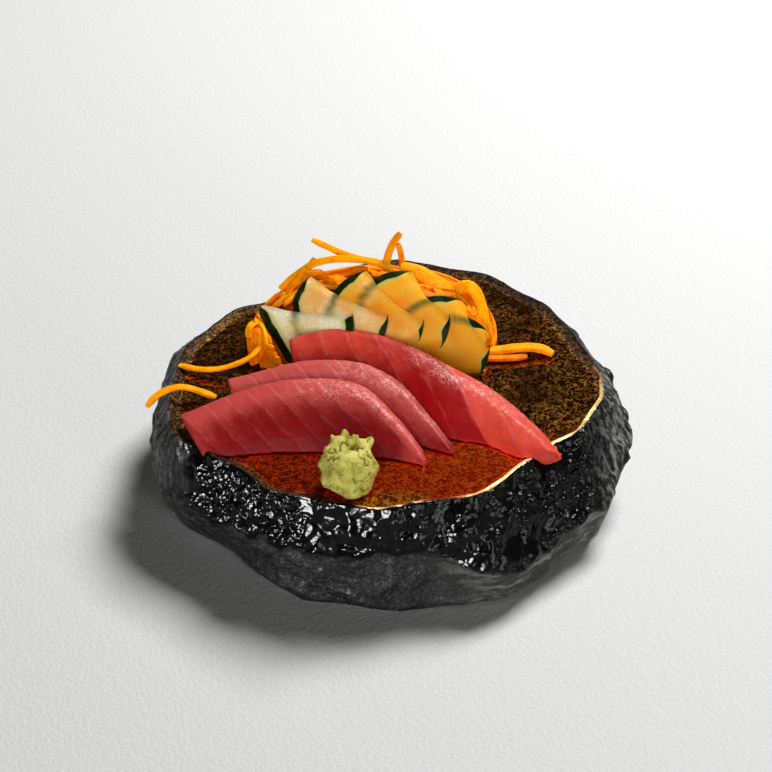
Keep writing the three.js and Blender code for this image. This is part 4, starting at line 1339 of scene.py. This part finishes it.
# %% Routes listed one by one
STRAY_ROUTES = [
    # share of the common width, tone, places in mm with heights above the glaze
    # these lie with their flat side up
    (0.75, 0.8, [(-73.3, 4.8, 1.6), (-66.3, 1.2, 2.4), (-59.5, -0.3, 3.4), (-52.8, 0.5, 5.0),
                 (-47.5, 3, 6.5), (-44, 8, 8)]),
    (0.9, 0.7, [(-82.4, -20.6, 1.8), (-79.4, -17.5, 3.8), (-75.7, -15.4, 5.0), (-71.3, -14.3, 5.5),
                (-66.9, -14.1, 4.5), (-62.8, -14.4, 3.0), (-58.9, -15.4, 2.0)]),
    (1.3, 0.7, [(59.6, 12.1, 1.4), (56.2, 13.6, 2.4), (51.5, 14.0, 3.0), (46.1, 13.5, 3.0),
                (40.7, 12.8, 2.6), (34, 13, 2.6), (27, 17, 4)]),
    (0.9, 0.1, [(50.3, 10.6, 1.3), (46.0, 9.8, 1.4), (40.5, 9.3, 1.5), (35.2, 9.5, 1.6),
                (28, 13, 2.6)]),
]
PROUD_ROUTES = [
    # the same, with the flat side away from the heap: over the top, upright, then down the right flank
    (0.8, 0.8, [(-26.3, 34.0, 35.6), (-21.4, 32.0, 34.3), (-15.7, 29.0, 33.1), (-9.2, 26.0, 32.6),
                (-2.7, 24.0, 32.0), (2.1, 22.0, 30.5)]),
    (0.9, 0.9, [(-38.0, 28.0, 19.0), (-33.7, 29.0, 22.6), (-29.6, 28.5, 26.5), (-25.2, 27.5, 29.9),
                (-19.8, 26.5, 32.0), (-14.5, 25.5, 33.0), (-7.4, 24.5, 33.0), (-0.4, 23.0, 32.0),
                (3.5, 21.0, 29.5)]),
    (0.9, 0.5, [(-36.0, 21.0, 15.7), (-35.3, 23.0, 18.5), (-33.9, 24.5, 21.4), (-30.6, 25.0, 24.4),
                (-27.0, 25.0, 27.0), (-22.7, 24.0, 28.5)]),
    (0.8, 0.6, [(-25.3, 30.0, 30.5), (-27.4, 28.0, 28.0), (-30.6, 26.0, 25.5)]),
    (1.0, 0.2, [(-21.6, 20.0, 24.3), (-17.0, 22.0, 27.2), (-12.0, 23.0, 29.5), (-6.3, 22.0, 30.5)]),
    (0.9, 0.7, [(5.1, 27.0, 42.6), (2.5, 26.0, 39.2), (0.7, 24.5, 34.8), (-0.4, 22.0, 30.0)]),
    (0.7, 0.3, [(4.1, 26.0, 39.1), (5.1, 25.4, 35.9), (5.7, 24.0, 32.6), (5.8, 22.0, 29.0)]),
    (2.1, 0.8, [(4.9, 22.0, 30.6), (9.5, 22.0, 29.6), (14.9, 21.0, 27.4), (20.2, 19.0, 24.0),
                (23.3, 17.0, 20.0)]),
    (1.5, 0.9, [(22.3, 19.0, 21.1), (25.1, 20.0, 23.8), (28.7, 20.0, 25.1), (31.6, 19.0, 23.2),
                (33.6, 17.0, 18.6), (34.8, 14.0, 12.5), (35.2, 12.0, 5.3)]),
    (1.1, 0.2, [(21.0, 18.0, 18.0), (24.2, 19.0, 20.2), (27.4, 19.0, 21.0), (30.0, 18.0, 19.0),
                (31.5, 16.0, 14.5), (32.4, 13.5, 9.5), (32.8, 12.0, 4.0)]),
    (1.3, 0.5, [(14, 20, 26), (20, 21, 24), (26, 20, 20), (30, 17, 15), (32, 14, 8)]),
    # left of the first slice of cucumber: one small bent shred, and three broad ones that hang down
    (0.9, 0.9, [(-43.0, 19.0, 10.5), (-46.5, 14.5, 13.4), (-48.6, 12.5, 11.8), (-48.5, 12.0, 8.7),
                (-47.9, 12.0, 6.6)]),
    (2.3, 0.3, [(-45.0, 15.5, 13.0), (-46.2, 13.0, 11.0), (-46.3, 11.0, 8.1), (-46.0, 8.0, 5.2),
                (-45.4, 5.0, 2.4)]),
    (2.2, 0.2, [(-44.0, 15.5, 13.0), (-43.9, 12.0, 10.4), (-43.0, 9.0, 6.6), (-42.5, 6.8, 3.5),
                (-42.0, 4.5, 1.8)]),
    (1.9, 0.1, [(-43.4, 15.0, 12.5), (-42.2, 12.5, 9.6), (-40.7, 10.0, 6.4), (-39.0, 7.0, 4.0),
                (-37.6, 4.9, 1.8)]),
]
ROUTE_STEP = 1.1              # mm between the points of a route
HALF_BREADTH = 1.35           # mm beside a route of the common width that stay clear of the slices
LOWEST_ROUTE = 1.4            # mm above the glaze


def smooth_route(corners):
    """Points at even steps on a Catmull-Rom curve through a few corners."""
    corners = [Vector(corner) for corner in corners]
    ends = [2 * corners[0] - corners[1], *corners, 2 * corners[-1] - corners[-2]]
    route = []
    for before, start, end, after in zip(ends, ends[1:], ends[2:], ends[3:]):
        steps = max(2, round((end - start).length / ROUTE_STEP))
        for step in range(steps):
            t = step / steps
            bend = (end - before) * t + (2 * before - 5 * start + 4 * end - after) * t ** 2
            route.append(start + 0.5 * (bend + (3 * start - before - 3 * end + after) * t ** 3))
    return route + [corners[-1]]


def longest_free(route, margin):
    """The longest stretch of a route that is in nobody's way."""
    best, run = [], []
    for place in route:
        run = [] if in_the_way(place, margin) else run + [place]
        best = max(best, run, key=len)
    return best


print("first stray:", len(smooth_route(STRAY_ROUTES[0][2])), "points")

# %% Routes that wind over the dome
SHRED_COUNT = 120
SHRED_SEED = 11
SHRED_LENGTHS = (22.0, 40.0)  # mm
SHRED_BREADTHS = (0.75, 1.35)    # shares of the common width
SHRED_LEAST = 8.0             # mm, shorter leftovers are dropped
SHRED_CORNERS = 6             # places that a winding route is drawn through
LOWEST, SPAN = 4, 62          # degrees: the lowest middle of a route, and how much higher they go
UPRIGHT = 75                  # degrees, added on the right flank, where the shreds stand more upright
HEADINGS = 60                 # degrees to either side
WAVES = 12                    # degrees to either side
FIRST_LAYER, LAYERS_RISE = -0.6, 1.7   # mm over the dome, and from the first shred to the last
ARCHES = 1.5                  # mm, the most that a shred stands off in its middle
STAYS_BETWEEN = (math.radians(3.5), math.radians(86))   # elevations on the dome
GOLDEN_TURN = math.radians(137.5)
random.seed(SHRED_SEED)


def winding_route(order):
    """A route over the dome. The first ones lie low and deep, the last ones lie over the top."""
    share = order / SHRED_COUNT
    azimuth = order * GOLDEN_TURN + random.uniform(-0.2, 0.2)
    elevation = math.radians(LOWEST + SPAN * random.random() ** 1.2)
    steep = UPRIGHT if math.cos(azimuth) > 0.3 else 0
    heading = math.radians(steep + random.uniform(-HEADINGS, HEADINGS))
    length = random.uniform(*SHRED_LENGTHS) / HEAP_REACH[1]
    wave = math.radians(random.uniform(-WAVES, WAVES))
    layer = FIRST_LAYER + LAYERS_RISE * share
    arch = random.uniform(0.0, ARCHES)
    corners = []
    for k in range(SHRED_CORNERS):
        t = k / (SHRED_CORNERS - 1)
        along = length * (t - 0.5)
        climb = along * math.sin(heading) + wave * math.sin(2 * math.pi * t)
        high = min(max(elevation + climb, STAYS_BETWEEN[0]), STAYS_BETWEEN[1])
        round_it = 0.75 * along * math.cos(heading) / max(0.45, math.cos(high))
        corners.append(heap_point(azimuth + round_it, high, layer + arch * math.sin(math.pi * t)))
    return corners


print("winding shreds:", SHRED_COUNT, "of", SHRED_LENGTHS, "mm")

# %% All routes in one mesh
TO_THE_FRONT = Vector((0, -0.9, 0))


def facing_from_heap(place):
    """The way out from the dome at a place."""
    out = place - HEAP_MIDDLE
    return Vector([v / reach for v, reach in zip(out, HEAP_REACH)]).normalized()


routes = []                   # each: (share of the common width, tone, corners)
for breadth, tone, corners in STRAY_ROUTES + PROUD_ROUTES:
    routes.append((breadth, tone, [(x, y, z + GLAZE_HEIGHT) for x, y, z in corners]))
for order in range(SHRED_COUNT):
    corners = winding_route(order)
    routes.append((random.uniform(*SHRED_BREADTHS), random.random(), corners))
route_points, route_edges, route_facing, route_tone, route_breadth = [], [], [], [], []
for order, (breadth, tone, corners) in enumerate(routes):
    route = longest_free(smooth_route(corners), HALF_BREADTH * breadth)
    if len(route) * ROUTE_STEP < SHRED_LEAST:
        continue
    first = len(route_points)
    route_edges += [(first + i, first + i + 1) for i in range(len(route) - 1)]
    for place in route:
        place.z = max(place.z, GLAZE_HEIGHT + LOWEST_ROUTE)
        route_points.append(metres(place))
        facing = facing_from_heap(place)
        if order < len(STRAY_ROUTES):
            facing = Vector((0, 0, 1))
        elif order < len(STRAY_ROUTES) + len(PROUD_ROUTES):
            facing = facing + TO_THE_FRONT
        route_facing.append(facing.normalized())
        route_tone.append(tone)
        route_breadth.append(breadth)
routes_mesh = bpy.data.meshes.new("carrot_shreds")
routes_mesh.from_pydata(route_points, route_edges, [])
store(routes_mesh, "tone", route_tone)
store(routes_mesh, "breadth", route_breadth)
for axis in range(3):
    store(routes_mesh, f"facing_{axis}", [facing[axis] for facing in route_facing])
print(len(route_points) - len(route_edges), "shreds,", len(route_points), "points")

# %% [markdown]
# ## Finish of the carrot
#
# Fresh carrot is a strong, warm orange. It is moist but not glossy, with fine fibres, and each shred
# has its own tone. The core has the same finish, only deeper, because it lies in the shade.

# %% Finish of the carrot
def carrot_finish(name, low, high):
    """A finish between a deep and a light orange."""
    material, graph = new_finish(name)
    place = place_on_piece(graph)
    tone = kept_number(graph, "tone")
    clouds = graph.noise(place, 300.0, 3.0)
    grains = graph.noise(place, 1400.0)
    # Fibres run along a shred: on it a place is known by the turn round it and the way along it.
    turn, way = kept_number(graph, "round"), kept_number(graph, "lengthwise")
    fibres = graph.noise(graph.joined(X=7.0 * turn, Y=220.0 * way, Z=40.0 * tone), 1.0, 3.0, 0.6)
    mix = 0.55 * tone + 0.9 * (clouds - 0.5) + 1.1 * (fibres - 0.5) + 0.5 * (grains - 0.5) + 0.25
    mix = mix.between(0.0, 1.0)
    shade(graph, {
        "Base Color": graph.mixed(mix, low, high),
        "Roughness": 0.45 + 0.3 * (fibres - 0.5),
        "Specular IOR Level": 0.05,
        "Subsurface Weight": 0.2,
        "Subsurface Radius": (0.003, 0.0015, 0.0004),
        "Subsurface Scale": 1.0,
        "Normal": bumped(graph, fibres + clouds + 0.5 * grains, 0.5, 0.6),
    })
    return material


shred_finish = carrot_finish("shred_finish", colour(0.74, 0.095, 0.0), colour(1.0, 0.38, 0.0))
core_finish = carrot_finish("core_finish", colour(0.50, 0.055, 0.0), colour(0.85, 0.20, 0.0))
core.data.materials.append(core_finish)
print("finishes of the carrot ready")

# %% [markdown]
# ## Shreds from their routes
#
# A curve sweeps a section along each route. The section is a flat box with eased corners, as a shred
# cutter leaves it. It is turned by the kept facing, it gets thinner towards both blunt tips, and a
# little noise makes the width waver.

# %% Shape tree for the shreds
SHRED_SIZES = {
    # mm, then shares of the width
    "Width": 2.9, "Thickness": 1.5, "Corner": 0.45, "Unevenness": 0.25, "Blunt tip": 0.7,
}
TIP_SHARE = 0.1               # of a shred's length


def kept_on_curve(graph, curve, name, measure):
    """A curve whose points keep their length or their share of the way along it."""
    return keeping(graph, curve, name, graph.node("GeometryNodeSplineParameter", None, None, measure))


graph, entry = open_tree("carrot_shreds", SHRED_SIZES)
facing = graph.joined(X=kept_in_shape(graph, "facing_0"), Y=kept_in_shape(graph, "facing_1"),
                      Z=kept_in_shape(graph, "facing_2"))
curves = graph.node("GeometryNodeMeshToCurve", None, {"Mesh": entry})
curves = kept_on_curve(graph, curves, "lengthwise", "Length")
turned = graph.node("GeometryNodeSetCurveNormal", {"mode": "FREE"}, {"Curve": curves, "Normal": facing})
share = graph.node("GeometryNodeSplineParameter", None, None, "Factor")
tip = share.least(1 - share).between(0.0, TIP_SHARE)
thinning = entry.also("Blunt tip") + (1 - entry.also("Blunt tip")) * tip
waver = graph.noise(graph.node("GeometryNodeInputPosition"), 150.0, 4.0, 0.7) - 0.5
uneven = (1 + entry.also("Unevenness") * 2.0 * waver) * kept_in_shape(graph, "breadth")
section = graph.node("GeometryNodeCurvePrimitiveQuadrilateral", None, {
    "Width": entry.also("Thickness") * MM, "Height": entry.also("Width") * MM,
})
section = graph.node("GeometryNodeFilletCurve", {"mode": "POLY"}, {
    "Curve": section, "Count": 2, "Radius": entry.also("Corner") * MM,
})
section = kept_on_curve(graph, section, "round", "Factor")
swept = graph.node("GeometryNodeCurveToMesh", None, {
    "Curve": turned, "Profile Curve": section, "Scale": thinning * uneven, "Fill Caps": True,
})
smooth = graph.node("GeometryNodeSetShadeSmooth", None, {"Geometry": swept})
close_tree(graph, smooth, shred_finish)

shreds = grown(new_piece("carrot_shreds", routes_mesh), graph, SHRED_SIZES)
for piece in (core, shreds):
    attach(piece, "root")
    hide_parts("carrot_heap")
print("shreds:", triangles_of(shreds), "triangles")

# %% [markdown]
# ## Ball of wasabi
#
# Wasabi paste is rolled into a ball and pulled off with the fingers, which leaves torn peaks on top, a
# dry and lumpy skin and short crevices. The solid has the ball and its peaks. A shape tree adds the
# lumps with two sizes of noise, opens crevices where a warped noise crosses its middle value, and pulls
# a few more tips out of the top. The finish paints shade into the crevices and strews a few orange
# specks.

# %% Finish of the wasabi
wasabi_finish, graph = new_finish("wasabi_finish")
place = place_on_piece(graph)
crevice = kept_number(graph, "crevice")
clouds = graph.noise(place, 260.0, 3.0)
crumbs = graph.noise(place, 1300.0, 3.0, 0.6)
speck = (1 - graph.cells(place, 420.0).between(0.08, 0.16)) * clouds.between(0.5, 0.6)
grain = (clouds + 0.6 * (crumbs - 0.5)).between(0.3, 0.7)
paste = graph.mixed(grain, colour(0.27, 0.25, 0.033), colour(0.48, 0.445, 0.112))
# Painted shade in the crevices.
paste = graph.mixed(crevice * 0.85, paste, colour(0.14, 0.12, 0.008))
paste = graph.mixed(0.7 * speck, paste, colour(0.80, 0.25, 0.03))
shade(graph, {
    "Base Color": paste,
    "Roughness": 0.55 + 0.2 * crumbs,
    "Specular IOR Level": 0.15,
    "Subsurface Weight": 0.15,
    "Subsurface Radius": (0.002, 0.002, 0.0008),
    "Subsurface Scale": 1.0,
    "Normal": bumped(graph, crumbs, 0.3, 0.6),
})
print("finish of the wasabi:", len(graph.tree.nodes), "nodes")

# %% Shape tree for the wasabi
WASABI_VOXEL = 0.28           # mm
WASABI_SMOOTHING = 50         # rounds
WASABI_WARP = 2.0             # mm
WASABI_SIZES = {
    # mm
    "Lump": 4.4, "Lump depth": 0.4, "Crumb": 1.0, "Crumb depth": 0.2, "Crevice": 4.6, "Crevice depth": 1.0,
}
WASABI_MIDDLE = (-12.2, -64.9, GLAZE_HEIGHT + 8.0)   # mm
WASABI_PEAKS = [
    # azimuth and elevation in degrees, pull in mm, half width in degrees
    (135, 50, 2.6, 10), (100, 66, 2.2, 8), (62, 66, 1.4, 8), (35, 42, 2.4, 10), (160, 40, 1.2, 8),
    (85, 82, -1.0, 16),
]

graph, entry = open_tree("torn_paste", WASABI_SIZES)
place = graph.node("GeometryNodeInputPosition")
bent = warped(graph, place, 350.0, WASABI_WARP)
lumps = graph.noise(place, 1.0 / (entry.also("Lump") * MM)) - 0.5
crumbs = graph.noise(place, 1.0 / (entry.also("Crumb") * MM)) - 0.5
fold = abs(graph.noise(bent, 1.0 / (entry.also("Crevice") * MM), 1.0) - 0.5)
crevice = (1 - fold.between(0.0, 0.05)) * graph.noise(place, 160.0, 1.0).between(0.42, 0.56)
moved = lumps * entry.also("Lump depth") * 2.0 + crumbs * entry.also("Crumb depth") * 2.0
moved = (moved - crevice * entry.also("Crevice depth")) * MM
from_foot = graph.along(place, (0, 0, 1)) / MM - (GLAZE_HEIGHT + AIR)
moved = moved * from_foot.between(0.0, 1.5)

# The warp moves every place by half its reach on average, so the middle moves with it.
bent_middle = metres(WASABI_MIDDLE) + Vector((1, 1, 1)) * (0.5 * WASABI_WARP * MM)
way_out = graph.vectors("NORMALIZE", graph.vectors("SUBTRACT", bent, tuple(bent_middle)))
pull = (0.0, 0.0, 0.0)
for azimuth, elevation, reach, half_width in WASABI_PEAKS:
    peak = tuple(pointing(math.radians(azimuth), math.radians(elevation)))
    near = graph.along(way_out, peak).between(math.cos(math.radians(half_width)), 1.0)
    pull = graph.vectors("ADD", pull, graph.scaled(peak, near * reach * MM))
torn = moved_out(graph, keeping(graph, entry, "crevice", crevice), moved, pull)
close_tree(graph, torn, wasabi_finish)

ball = new_piece("wasabi_ball", solid_copy("wasabi", "wasabi_ball", WASABI_VOXEL, WASABI_SMOOTHING))
ball = grown(ball, graph, WASABI_SIZES)
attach(ball, "root")
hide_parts("wasabi")
print("wasabi:", triangles_of(ball), "triangles", sides_of(ball), "mm")

# %% [markdown]
# ## What the small lamps light
#
# A photographer would hold up cards so that a lamp reaches only the fish, or only the wet stone. Light
# linking does the same: each of those lamps gets a collection, and lights only the pieces in it. The
# collections are filled here, because the pieces have to be finished first.

# %% What the small lamps light
for name, collection in lit_only.items():
    for piece in list(bpy.context.scene.collection.objects):
        if piece.name.startswith(LIT_PIECES[name]):
            collection.objects.link(piece)

# %% [markdown]
# ## Measuring the dish
#
# Last, the box round the finished dish is set beside the box of the solids. A finish may stand a
# little proud of its solid, but the dish has to keep its size.

# %% Sizes of the solids and of the finished dish
finished_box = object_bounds()
for name, box in (("solids", solid_box), ("finished", finished_box)):
    print(name, "mm:", [[round(v / MM, 1) for v in corner] for corner in box])
